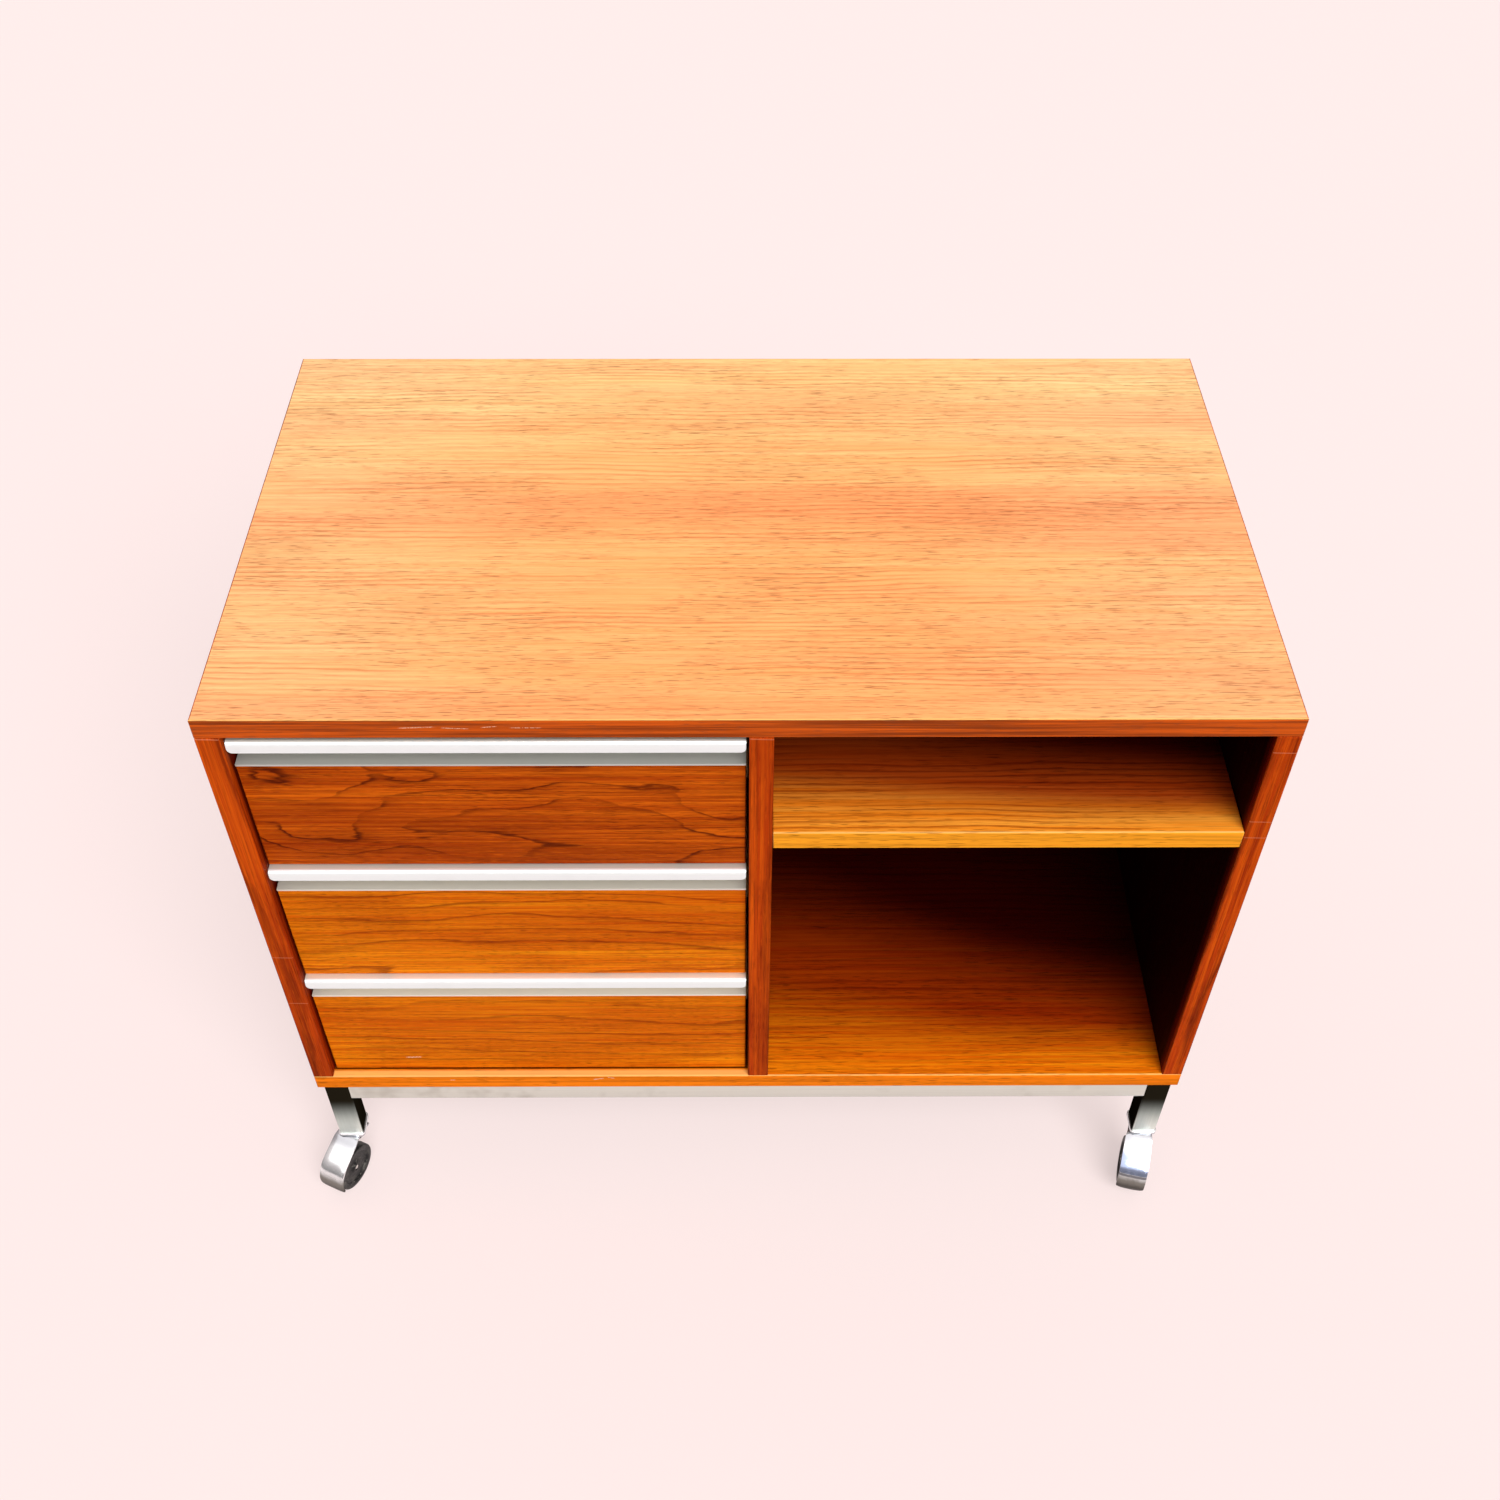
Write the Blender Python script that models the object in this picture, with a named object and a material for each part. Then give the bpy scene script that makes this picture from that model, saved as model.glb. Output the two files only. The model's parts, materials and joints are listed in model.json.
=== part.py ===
"""Rolling storage cabinet: three drawers beside two open bays, on a square tube frame
that stands on four hooded twin-wheel casters.

Units are metres and +Z is up.  The front faces -Y and +X is to the right of someone
facing it.  The origin lies on the floor, under the middle of the carcass.

Every board, tube, drawer part, hood, axle and wheel is one closed solid of its own.
Each drawer hangs on an empty that slides along Y.  Each caster hangs on an empty that
turns about Z on its leg's centre line, and its wheels on empties that lie on the axle.
"""

import math

import bmesh
import bpy
from mathutils import Matrix, Vector

# ---------------------------------------------------------------- driving dimensions
# Carcass, outside
WIDTH = 0.880
DEPTH = 0.500
CARCASS_HEIGHT = 0.538
BOARD = 0.020                   # thickness of every carcass board
ARRIS = 0.0006                  # chamfer along the boards' edges
GAP = 0.0003                    # air between two pieces that touch

# Carcass, inside
DRAWER_BAY_WIDTH = 0.420
UPPER_BAY_HEIGHT = 0.1174
BACK_THICKNESS = 0.008
BACK_LET_IN = 0.010             # how far the back panel reaches into each board

# Frame of square tube
TUBE = 0.025
TUBE_WALL = 0.0015
LEG_LENGTH = 0.094
LEG_INSET_SIDE = 0.0055         # from the carcass side to the leg
LEG_INSET_FRONT = 0.002         # from the carcass front, or back, to the leg

# Leg caps, which carry the caster stems
CAP_THICKNESS = 0.005
CAP_PROUD = 0.0015              # how far the cap stands out round the leg
CAP_CORNER = 0.004
SPIGOT_LENGTH = 0.026

# Casters
WHEEL_RADIUS = 0.026
WHEEL_WIDTH = 0.0104
WHEEL_EDGE = 0.0015             # rounding of the tread's two edges
WHEEL_RIM = 0.006               # height of the rim round the dished outer face
WHEEL_DISH = 0.002
WHEEL_HUB_RADIUS = 0.0075
WHEEL_SIDE_GAP = 0.0006         # between a wheel and the web beside it
AXLE_RADIUS = 0.003
AXLE_CLEARANCE = 0.0003
TRAIL = 0.025                   # from the swivel axis to the axle
HOOD_GAP = 0.0015               # between the tread and the hood
HOOD_THICKNESS = 0.002
HOOD_RISE = 0.013               # from the top of the wheel to the underside of the leg cap
HOOD_SIDE = 0.0015              # how far the hood reaches past the wheels, each side
HOOD_BACK = 0.0095              # how far its level part reaches behind the swivel axis
HOOD_END_ANGLE = math.radians(205)      # from +Y, over the top, to the hood's lower lip
WEB_THICKNESS = 0.004
WEB_SHORTENED = math.radians(6)         # how much sooner than the shell the web ends
WEB_HUB_RADIUS = 0.008
BOSS_RADIUS = 0.008
STEM_RADIUS = 0.004
STEM_CLEARANCE = 0.0003
STEM_LENGTH = 0.022
WEB_SINK = 0.0010               # how far the web, boss and stem reach into the shell
BOSS_SINK = 0.0006
STEM_SINK = 0.0014

# Drawers
DRAWERS = 3
PULL_HEIGHT = 0.034             # how far a pull rises above its wooden front
FRONT_GAP = 0.0023              # between a pull and the front above it
LOWEST_FRONT_GAP = 0.0029       # under the lowest front
HIGHEST_FRONT_GAP = 0.0076      # over the highest pull
FRONT_SIDE_GAP_LEFT = 0.0022
FRONT_SIDE_GAP_RIGHT = 0.0025
FRONT_THICKNESS = 0.018
FRONT_SETBACK = 0.009           # from the carcass front to the wooden fronts
BOX_BOARD = 0.012               # drawer sides and backs
BOX_TOP_DROP = 0.006            # from the front's top edge to the sides' top edge
BOX_LIFT = 0.010                # from the front's bottom edge to the sides' bottom edge
BOX_BACK_SPACE = 0.020          # from the drawer's rear end to the back panel
BACK_DROP = 0.006               # how much lower than the sides the drawer's back is
FLOOR_THICKNESS = 0.004
FLOOR_LET_IN = 0.005
FLOOR_LIFT = 0.008              # from the sides' bottom edge to the drawer's floor

# Pulls: a folded strip with a hook at its top, screwed down on the wooden front
PULL_WALL = 0.002
PULL_LIP = 0.0115               # height of the lip that fingers reach behind
PULL_LIP_PROUD = 0.007          # from the wooden front out to the lip
PULL_FOOT_PROUD = 0.0007        # from the wooden front out to the foot's nose
PULL_LIP_CORNER = 0.0045

# Runners: hardwood strips on the carcass that fit grooves in the drawer sides
RUNNER_HEIGHT = 0.014
RUNNER_SETBACK = 0.006          # from the drawer front's inner face to the runner
RUNNER_BACK_SPACE = 0.040       # from the runner's rear end to the back panel
RUNNER_DROP = 0.030             # from the sides' top edge to the runner's middle
RUNNER_CLEARANCE = 0.0005
GROOVE_DEPTH = 0.006
BOX_SIDE_SPACE = 0.0060         # from a drawer side to the carcass beside it

# Facets round a full circle
WHEEL_FACETS = 24
PIN_FACETS = 24
HOOD_ARC_FACETS = 10
CORNER_FACETS = 3
CUT_OVERRUN = 0.01              # how far a cutter reaches past what it cuts

# ---------------------------------------------------------------- levels that follow
CASTER_HEIGHT = 2 * WHEEL_RADIUS + HOOD_RISE
LEG_BOTTOM = CASTER_HEIGHT + CAP_THICKNESS
CARCASS_BOTTOM = LEG_BOTTOM + LEG_LENGTH
FLOOR_OF_BAYS = CARCASS_BOTTOM + BOARD
TOP = CARCASS_BOTTOM + CARCASS_HEIGHT
CEILING = TOP - BOARD
FRONT_Y = -DEPTH / 2
REAR_Y = DEPTH / 2
BACK_PANEL_Y = REAR_Y - BACK_THICKNESS
INNER_X = WIDTH / 2 - BOARD
DIVIDER_LEFT = -INNER_X + DRAWER_BAY_WIDTH
DIVIDER_RIGHT = DIVIDER_LEFT + BOARD
LEG_X = WIDTH / 2 - LEG_INSET_SIDE - TUBE / 2
LEG_Y = DEPTH / 2 - LEG_INSET_FRONT - TUBE / 2
SLOTS_HEIGHT = (CEILING - FLOOR_OF_BAYS - LOWEST_FRONT_GAP - HIGHEST_FRONT_GAP
                - (DRAWERS - 1) * FRONT_GAP)
FRONT_HEIGHT = SLOTS_HEIGHT / DRAWERS - PULL_HEIGHT
DRAWER_PITCH = FRONT_HEIGHT + PULL_HEIGHT + FRONT_GAP

# How each caster has come to rest: the angle that its wheels trail away from -Y
CASTERS = {
    "front_left": (-1, -1, math.radians(-25)),
    "front_right": (1, -1, math.radians(-14)),
    "rear_right": (1, 1, math.radians(155)),
    "rear_left": (-1, 1, math.radians(166)),
}


# ---------------------------------------------------------------- materials
def material(name, colour, roughness, metallic=0.0):
    """A Principled material with one colour."""
    made = bpy.data.materials.new(name)
    made.use_nodes = True
    shader = made.node_tree.nodes["Principled BSDF"]
    shader.inputs["Base Color"].default_value = (*colour, 1.0)
    shader.inputs["Roughness"].default_value = roughness
    shader.inputs["Metallic"].default_value = metallic
    return made


def make_materials():
    """Every finish of the cabinet, by name."""
    return {
        "honey_teak": material("honey_teak", (0.80, 0.42, 0.17), 0.40),
        "red_teak": material("red_teak", (0.38, 0.09, 0.02), 0.40),
        "front_teak": material("front_teak", (0.55, 0.17, 0.02), 0.38),
        "plain_board": material("plain_board", (0.45, 0.30, 0.17), 0.60),
        "drawer_birch": material("drawer_birch", (0.72, 0.55, 0.35), 0.55),
        "runner_beech": material("runner_beech", (0.66, 0.45, 0.27), 0.50),
        "satin_aluminium": material("satin_aluminium", (0.85, 0.85, 0.86), 0.35, 1.0),
        "brushed_steel": material("brushed_steel", (0.60, 0.60, 0.58), 0.35, 1.0),
        "bright_chrome": material("bright_chrome", (0.90, 0.90, 0.92), 0.08, 1.0),
        "axle_steel": material("axle_steel", (0.55, 0.55, 0.56), 0.30, 1.0),
        "wheel_plastic": material("wheel_plastic", (0.03, 0.03, 0.03), 0.50),
    }


# ---------------------------------------------------------------- modelling helpers
def clear_scene():
    """Start from an empty scene."""
    for old in list(bpy.data.objects):
        bpy.data.objects.remove(old, do_unlink=True)


def add_object(name, bm, finish=None, location=(0, 0, 0), parent=None):
    """Turn a bmesh into an object whose faces point outwards."""
    bm.normal_update()
    bmesh.ops.recalc_face_normals(bm, faces=bm.faces)
    mesh = bpy.data.meshes.new(name)
    bm.to_mesh(mesh)
    bm.free()
    if finish is not None:
        mesh.materials.append(finish)
    made = bpy.data.objects.new(name, mesh)
    made.location = location
    made.parent = parent
    bpy.context.scene.collection.objects.link(made)
    return made


def add_empty(name, location, turn=0.0, parent=None):
    """An axis that moving pieces hang on."""
    made = bpy.data.objects.new(name, None)
    made.empty_display_size = 0.05
    made.location = location
    made.rotation_euler = (0, 0, turn)
    made.parent = parent
    bpy.context.scene.collection.objects.link(made)
    return made


def round_off(made):
    """Smooth shading on a round piece, with its corners kept crisp."""
    made.data.shade_smooth()
    made.data.set_sharp_from_angle(angle=math.radians(35))


def box_bmesh(low, high, chamfer=0.0):
    """A box about its own centre, with every edge chamfered."""
    size = Vector(high) - Vector(low)
    bm = bmesh.new()
    bmesh.ops.create_cube(bm, size=1.0)
    bmesh.ops.scale(bm, vec=size, verts=bm.verts)
    if chamfer > 0:
        bmesh.ops.bevel(bm, geom=bm.edges[:], offset=chamfer, segments=1, affect="EDGES")
    return bm


def board(name, low, high, finish, parent=None):
    """A board between two corners, with eased edges."""
    middle = (Vector(low) + Vector(high)) / 2
    return add_object(name, box_bmesh(low, high, ARRIS), finish, middle, parent)


def cutter(name, bm, location=(0, 0, 0), parent=None):
    """A shape that only cuts or joins others: drawn as wire and left out of the model."""
    made = add_object(name, bm, None, location, parent)
    made.hide_render = True
    made.display_type = "WIRE"
    return made


def box_cutter(name, low, high, parent=None):
    """A box between two corners that only cuts others."""
    middle = (Vector(low) + Vector(high)) / 2
    return cutter(name, box_bmesh(low, high), middle, parent)


def combine(made, other, operation):
    """Join another shape to an object, or cut it away."""
    step = made.modifiers.new(other.name, "BOOLEAN")
    step.object = other
    step.operation = operation
    step.solver = "EXACT"


def prism_bmesh(outline, half_width):
    """A (y, z) outline drawn out along X, half_width to each side."""
    bm = bmesh.new()
    corners = [bm.verts.new((-half_width, y, z)) for y, z in outline]
    face = bm.faces.new(corners)
    drawn = bmesh.ops.extrude_face_region(bm, geom=[face])
    moved = [part for part in drawn["geom"] if isinstance(part, bmesh.types.BMVert)]
    bmesh.ops.translate(bm, vec=(2 * half_width, 0, 0), verts=moved)
    return bm


def cylinder_bmesh(radius, low, high, facets):
    """An upright cylinder on the Z axis between two heights."""
    bm = bmesh.new()
    bmesh.ops.create_cone(bm, cap_ends=True, segments=facets, radius1=radius,
                          radius2=radius, depth=high - low)
    bmesh.ops.translate(bm, vec=(0, 0, (low + high) / 2), verts=bm.verts)
    return bm


def lay_along_x(bm):
    """Turn an upright shape so that its axis runs along X."""
    bmesh.ops.rotate(bm, cent=(0, 0, 0), matrix=Matrix.Rotation(math.pi / 2, 3, "Y"),
                     verts=bm.verts)
    return bm


def turned_bmesh(profile, facets):
    """A closed (x, radius) profile spun round the X axis."""
    bm = bmesh.new()
    verts = [bm.verts.new((x, 0, radius)) for x, radius in profile]
    edges = [bm.edges.new((verts[i - 1], verts[i])) for i in range(len(verts))]
    bmesh.ops.spin(bm, geom=verts + edges, cent=(0, 0, 0), axis=(1, 0, 0),
                   angle=2 * math.pi, steps=facets, use_merge=True)
    bmesh.ops.remove_doubles(bm, verts=bm.verts, dist=GAP / 10)
    return bm


# ---------------------------------------------------------------- carcass
def make_carcass(finish):
    """Top and bottom boards, two sides and a divider between them, shelf and back."""
    honey = finish["honey_teak"]
    red = finish["red_teak"]
    low_z = FLOOR_OF_BAYS + GAP
    high_z = CEILING - GAP
    half = WIDTH / 2

    top = board("top_panel", (-half, FRONT_Y, CEILING), (half, REAR_Y, TOP), honey)
    bottom = board("bottom_panel", (-half, FRONT_Y, CARCASS_BOTTOM),
                   (half, REAR_Y, FLOOR_OF_BAYS), finish["front_teak"])
    left = board("left_side_panel", (-half, FRONT_Y, low_z), (-INNER_X, REAR_Y, high_z), red)
    right = board("right_side_panel", (INNER_X, FRONT_Y, low_z), (half, REAR_Y, high_z), red)

    reach_x = INNER_X + BACK_LET_IN
    low_back = FLOOR_OF_BAYS - BACK_LET_IN
    high_back = CEILING + BACK_LET_IN
    board("back_panel", (-reach_x + GAP, BACK_PANEL_Y, low_back + GAP),
          (reach_x - GAP, REAR_Y, high_back - GAP), finish["plain_board"])
    rebate = box_cutter("back_rebate", (-reach_x, BACK_PANEL_Y - GAP, low_back),
                        (reach_x, REAR_Y + CUT_OVERRUN, high_back))
    for panel in (top, bottom, left, right):
        combine(panel, rebate, "DIFFERENCE")

    inner_y = BACK_PANEL_Y - GAP
    board("divider_panel", (DIVIDER_LEFT, FRONT_Y, low_z),
          (DIVIDER_RIGHT, inner_y, high_z), red)
    shelf_top = CEILING - UPPER_BAY_HEIGHT
    board("shelf", (DIVIDER_RIGHT + GAP, FRONT_Y, shelf_top - BOARD),
          (INNER_X - GAP, inner_y, shelf_top), finish["front_teak"])


# ---------------------------------------------------------------- frame
def square_tube(name, length, axis, finish, location):
    """A square tube, open at both ends, along X, Y or Z."""
    half = [TUBE / 2] * 3
    half[axis] = length / 2
    bore = [TUBE / 2 - TUBE_WALL] * 3
    bore[axis] = length / 2 + CUT_OVERRUN
    outside = box_bmesh([-side for side in half], half)
    inside = box_bmesh([-side for side in bore], bore)
    tube = add_object(name, outside, finish, location)
    combine(tube, cutter(name + "_bore", inside, location), "DIFFERENCE")


def make_frame(finish):
    """Four legs with four rails between their upper ends."""
    steel = finish["brushed_steel"]
    bright = finish["satin_aluminium"]
    leg_low = LEG_BOTTOM + GAP
    leg_high = CARCASS_BOTTOM - GAP
    rail_z = leg_high - TUBE / 2
    for name, (side, end, _turn) in CASTERS.items():
        place = (side * LEG_X, end * LEG_Y, (leg_low + leg_high) / 2)
        square_tube("leg_" + name, leg_high - leg_low, 2, steel, place)

    across = 2 * LEG_X - TUBE - 2 * GAP
    along = 2 * LEG_Y - TUBE - 2 * GAP
    square_tube("front_rail", across, 0, bright, (0, -LEG_Y, rail_z))
    square_tube("rear_rail", across, 0, bright, (0, LEG_Y, rail_z))
    square_tube("left_rail", along, 1, steel, (-LEG_X, 0, rail_z))
    square_tube("right_rail", along, 1, steel, (LEG_X, 0, rail_z))


# ---------------------------------------------------------------- casters
def make_leg_cap(name, finish, place):
    """A plate under the leg with a spigot up inside it, bored for the caster's stem."""
    half = TUBE / 2 + CAP_PROUD
    plate = box_bmesh((-half, -half, 0), (half, half, CAP_THICKNESS))
    upright = [edge for edge in plate.edges
               if abs(edge.verts[0].co.z - edge.verts[1].co.z) > CAP_THICKNESS / 2]
    bmesh.ops.bevel(plate, geom=upright, offset=CAP_CORNER, segments=CORNER_FACETS,
                    profile=0.5, affect="EDGES")
    middle = Vector(place) + Vector((0, 0, CAP_THICKNESS / 2))
    cap = add_object("leg_cap_" + name, plate, finish, middle)

    fit = TUBE / 2 - TUBE_WALL - GAP
    spigot = box_bmesh((-fit, -fit, 0), (fit, fit, SPIGOT_LENGTH + CAP_THICKNESS / 2))
    combine(cap, cutter("spigot_" + name, spigot, Vector(place) + Vector(
        (0, 0, CAP_THICKNESS / 2 + (SPIGOT_LENGTH + CAP_THICKNESS / 2) / 2))), "UNION")
    bore = cylinder_bmesh(STEM_RADIUS + STEM_CLEARANCE, -CUT_OVERRUN,
                          CAP_THICKNESS + SPIGOT_LENGTH + CUT_OVERRUN, PIN_FACETS)
    combine(cap, cutter("stem_bore_" + name, bore, place), "DIFFERENCE")


def hood_outlines():
    """The hood's shell and its middle web, as (y, z) outlines about the swivel axis.

    The shell runs level under the leg cap, then slopes down until it meets the arc
    round the axle, and follows that arc to its lower lip.  It is one strip between an
    outer and an inner line.  The web fills from the shell to the axle and the stem.
    """
    top = CASTER_HEIGHT - GAP
    centre = Vector((-TRAIL, WHEEL_RADIUS))
    outer = WHEEL_RADIUS + HOOD_GAP + HOOD_THICKNESS
    reach = TUBE / 2 + CAP_PROUD
    corner = Vector((-reach, top))

    towards = corner - centre
    first = math.atan2(towards.y, towards.x) + math.acos(outer / towards.length)
    slope = Vector((-math.sin(first), math.cos(first)))

    def arc(radius, start=first, end=HOOD_END_ANGLE):
        """Points on the circle round the axle."""
        step = (end - start) / HOOD_ARC_FACETS
        angles = [start + step * i for i in range(HOOD_ARC_FACETS + 1)]
        return [centre + radius * Vector((math.cos(a), math.sin(a))) for a in angles]

    def bend(inset):
        """Where the slope, moved inwards, meets the level part, moved inwards."""
        foot = arc(outer - inset)[0]
        return foot + slope * ((top - inset - foot.y) / slope.y)

    shell = [Vector((HOOD_BACK, top)), bend(0)] + arc(outer)
    shell += arc(outer - HOOD_THICKNESS)[::-1]
    shell += [bend(HOOD_THICKNESS), Vector((HOOD_BACK, top - HOOD_THICKNESS))]

    inside = HOOD_THICKNESS - WEB_SINK
    web_end = HOOD_END_ANGLE - WEB_SHORTENED
    web = [Vector((BOSS_RADIUS / 2, top - inside)), bend(inside)]
    web += arc(outer - inside, end=web_end)
    web += arc(WEB_HUB_RADIUS, web_end, 2 * math.pi)
    web += [Vector((BOSS_RADIUS / 2, boss_bottom()))]
    return shell, web


def boss_bottom():
    """The lowest height at which the stem's boss clears the wheels."""
    clear = WHEEL_RADIUS + HOOD_GAP
    across = max(0.0, TRAIL - BOSS_RADIUS)
    return WHEEL_RADIUS + math.sqrt(max(0.0, clear ** 2 - across ** 2))


def make_hood(name, finish, parent):
    """Shell, web, boss and stem as one casting, with a hole for the axle."""
    top = CASTER_HEIGHT - GAP
    shell, web = hood_outlines()
    half = WEB_THICKNESS / 2 + WHEEL_SIDE_GAP + WHEEL_WIDTH + HOOD_SIDE
    hood = add_object("caster_%s_hood" % name, prism_bmesh(shell, half), finish,
                      parent=parent)
    ceiling = top - HOOD_THICKNESS
    boss = cylinder_bmesh(BOSS_RADIUS, boss_bottom(), ceiling + BOSS_SINK, PIN_FACETS)
    stem = cylinder_bmesh(STEM_RADIUS, top - STEM_SINK, top + STEM_LENGTH, PIN_FACETS)
    hole = lay_along_x(cylinder_bmesh(AXLE_RADIUS + AXLE_CLEARANCE, -WEB_THICKNESS,
                                      WEB_THICKNESS, PIN_FACETS))
    combine(hood, cutter("web_" + name, prism_bmesh(web, WEB_THICKNESS / 2),
                         parent=parent), "UNION")
    combine(hood, cutter("boss_" + name, boss, parent=parent), "UNION")
    combine(hood, cutter("stem_" + name, stem, parent=parent), "UNION")
    combine(hood, cutter("axle_hole_" + name, hole, (0, -TRAIL, WHEEL_RADIUS), parent),
            "DIFFERENCE")


def wheel_profile():
    """Half of a wheel's section as (x, radius), from the web outwards."""
    bore = AXLE_RADIUS + AXLE_CLEARANCE
    rim = WHEEL_RADIUS - WHEEL_RIM
    dished = WHEEL_WIDTH - WHEEL_DISH
    return [
        (0, bore),
        (0, WHEEL_RADIUS - WHEEL_EDGE),
        (WHEEL_EDGE, WHEEL_RADIUS),
        (WHEEL_WIDTH - WHEEL_EDGE, WHEEL_RADIUS),
        (WHEEL_WIDTH, WHEEL_RADIUS - WHEEL_EDGE),
        (WHEEL_WIDTH, rim),
        (dished, rim - WHEEL_DISH),
        (dished, WHEEL_HUB_RADIUS),
        (WHEEL_WIDTH, WHEEL_HUB_RADIUS - WHEEL_DISH),
        (WHEEL_WIDTH, bore),
    ]


def make_caster(name, side, end, turn, finish):
    """A hooded caster under one leg: hood, axle and two wheels."""
    swivel = add_empty("swivel_" + name, (side * LEG_X, end * LEG_Y, 0), turn)
    make_hood(name, finish["bright_chrome"], swivel)

    axle_half = WEB_THICKNESS / 2 + WHEEL_SIDE_GAP + WHEEL_WIDTH
    axle = lay_along_x(cylinder_bmesh(AXLE_RADIUS, -axle_half, axle_half, PIN_FACETS))
    round_off(add_object("caster_%s_axle" % name, axle, finish["axle_steel"],
                         (0, -TRAIL, WHEEL_RADIUS), swivel))

    start = WEB_THICKNESS / 2 + WHEEL_SIDE_GAP
    for word, way in (("left", -1), ("right", 1)):
        hub = add_empty("hub_%s_%s" % (name, word), (0, -TRAIL, WHEEL_RADIUS),
                        parent=swivel)
        profile = [(way * (start + x), radius) for x, radius in wheel_profile()]
        wheel = turned_bmesh(profile, WHEEL_FACETS)
        round_off(add_object("caster_%s_wheel_%s" % (name, word), wheel,
                             finish["wheel_plastic"], parent=hub))


# ---------------------------------------------------------------- drawers
def pull_outline():
    """The pull's section as (y, z), from the front's top edge and its front face."""
    front = -PULL_LIP_PROUD
    rear = FRONT_THICKNESS
    high = PULL_HEIGHT
    wall = PULL_WALL
    return [
        (-PULL_FOOT_PROUD, GAP),
        (rear, GAP),
        (rear, high),
        (front, high),
        (front, high - PULL_LIP),
        (front + wall, high - PULL_LIP),
        (front + wall, high - wall),
        (rear - wall, high - wall),
        (rear - wall, wall + GAP),
        (-PULL_FOOT_PROUD, wall + GAP),
    ]


def make_pull(name, half_width, finish, place, parent):
    """A full-width strip whose lip has rounded lower corners."""
    bm = prism_bmesh(pull_outline(), half_width)
    low = PULL_HEIGHT - PULL_LIP
    corners = []
    for edge in bm.edges:
        ends = [vert.co for vert in edge.verts]
        on_end = abs(ends[0].x - ends[1].x) < GAP
        at_lip = all(abs(end.z - low) < GAP / 2 and end.y < 0 for end in ends)
        if on_end and at_lip:
            corners.append(edge)
    bmesh.ops.bevel(bm, geom=corners, offset=PULL_LIP_CORNER, segments=CORNER_FACETS + 1,
                    profile=0.5, affect="EDGES")
    add_object(name, bm, finish, place, parent)


def make_drawer(number, finish):
    """A wooden front with its pull, and a box whose sides are grooved for the runners.

    Drawer 1 is the highest.  Everything is placed from the drawer's own empty, which
    lies on the bay's middle line, in the plane and at the bottom edge of the front.
    """
    left = -INNER_X
    middle = (left + DIVIDER_LEFT) / 2
    front_low = FLOOR_OF_BAYS + LOWEST_FRONT_GAP + (DRAWERS - number) * DRAWER_PITCH
    slide = add_empty("slide_%d" % number, (middle, FRONT_Y + FRONT_SETBACK, front_low))
    label = "drawer_%d_" % number
    birch = finish["drawer_birch"]

    front_left = left + FRONT_SIDE_GAP_LEFT - middle
    front_right = DIVIDER_LEFT - FRONT_SIDE_GAP_RIGHT - middle
    front = board(label + "front", (front_left, 0, 0),
                  (front_right, FRONT_THICKNESS, FRONT_HEIGHT), finish["front_teak"], slide)
    make_pull(label + "pull", (front_right - front_left) / 2, finish["satin_aluminium"],
              ((front_left + front_right) / 2, 0, FRONT_HEIGHT), slide)

    box_half = DRAWER_BAY_WIDTH / 2 - BOX_SIDE_SPACE
    inner = box_half - BOX_BOARD
    start = FRONT_THICKNESS + GAP
    stop = DEPTH - BACK_THICKNESS - BOX_BACK_SPACE - FRONT_SETBACK
    low = BOX_LIFT
    high = FRONT_HEIGHT - BOX_TOP_DROP
    left_side = board(label + "left_side", (-box_half, start, low),
                      (-inner, stop, high), birch, slide)
    right_side = board(label + "right_side", (inner, start, low),
                       (box_half, stop, high), birch, slide)

    floor_low = low + FLOOR_LIFT
    floor_high = floor_low + FLOOR_THICKNESS
    board(label + "back", (-inner + GAP, stop - BOX_BOARD, floor_high + GAP),
          (inner - GAP, stop, high - BACK_DROP), birch, slide)
    reach = inner + FLOOR_LET_IN
    board(label + "floor", (-reach + GAP, FRONT_THICKNESS - FLOOR_LET_IN + GAP, floor_low),
          (reach - GAP, stop, floor_high), birch, slide)
    groove = box_cutter(label + "floor_groove",
                        (-reach, FRONT_THICKNESS - FLOOR_LET_IN, floor_low - GAP),
                        (reach, stop + CUT_OVERRUN, floor_high + GAP), slide)
    for piece in (front, left_side, right_side):
        combine(piece, groove, "DIFFERENCE")

    make_runners(number, left_side, right_side, slide, start, box_half, high)


def make_runners(number, left_side, right_side, slide, start, box_half, box_top):
    """Two strips fixed to the carcass, and the grooves that they leave in the sides."""
    centre = slide.location
    runner_z = box_top - RUNNER_DROP
    low = runner_z - RUNNER_HEIGHT / 2
    high = runner_z + RUNNER_HEIGHT / 2
    front = start + RUNNER_SETBACK
    rear = DEPTH - BACK_THICKNESS - FRONT_SETBACK - RUNNER_BACK_SPACE
    tip = box_half - GROOVE_DEPTH
    wall = DRAWER_BAY_WIDTH / 2
    beech = bpy.data.materials["runner_beech"]
    for word, way, side in (("left", -1, left_side), ("right", 1, right_side)):
        across = sorted((way * (tip + RUNNER_CLEARANCE), way * (wall - GAP)))
        board("runner_%d_%s" % (number, word),
              centre + Vector((across[0], front, low)),
              centre + Vector((across[1], rear, high)), beech)
        cut = sorted((way * tip, way * (box_half + CUT_OVERRUN)))
        groove = box_cutter("runner_groove_%d_%s" % (number, word),
                            (cut[0], start - CUT_OVERRUN, low - RUNNER_CLEARANCE),
                            (cut[1], start + DEPTH, high + RUNNER_CLEARANCE), slide)
        combine(side, groove, "DIFFERENCE")


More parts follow.
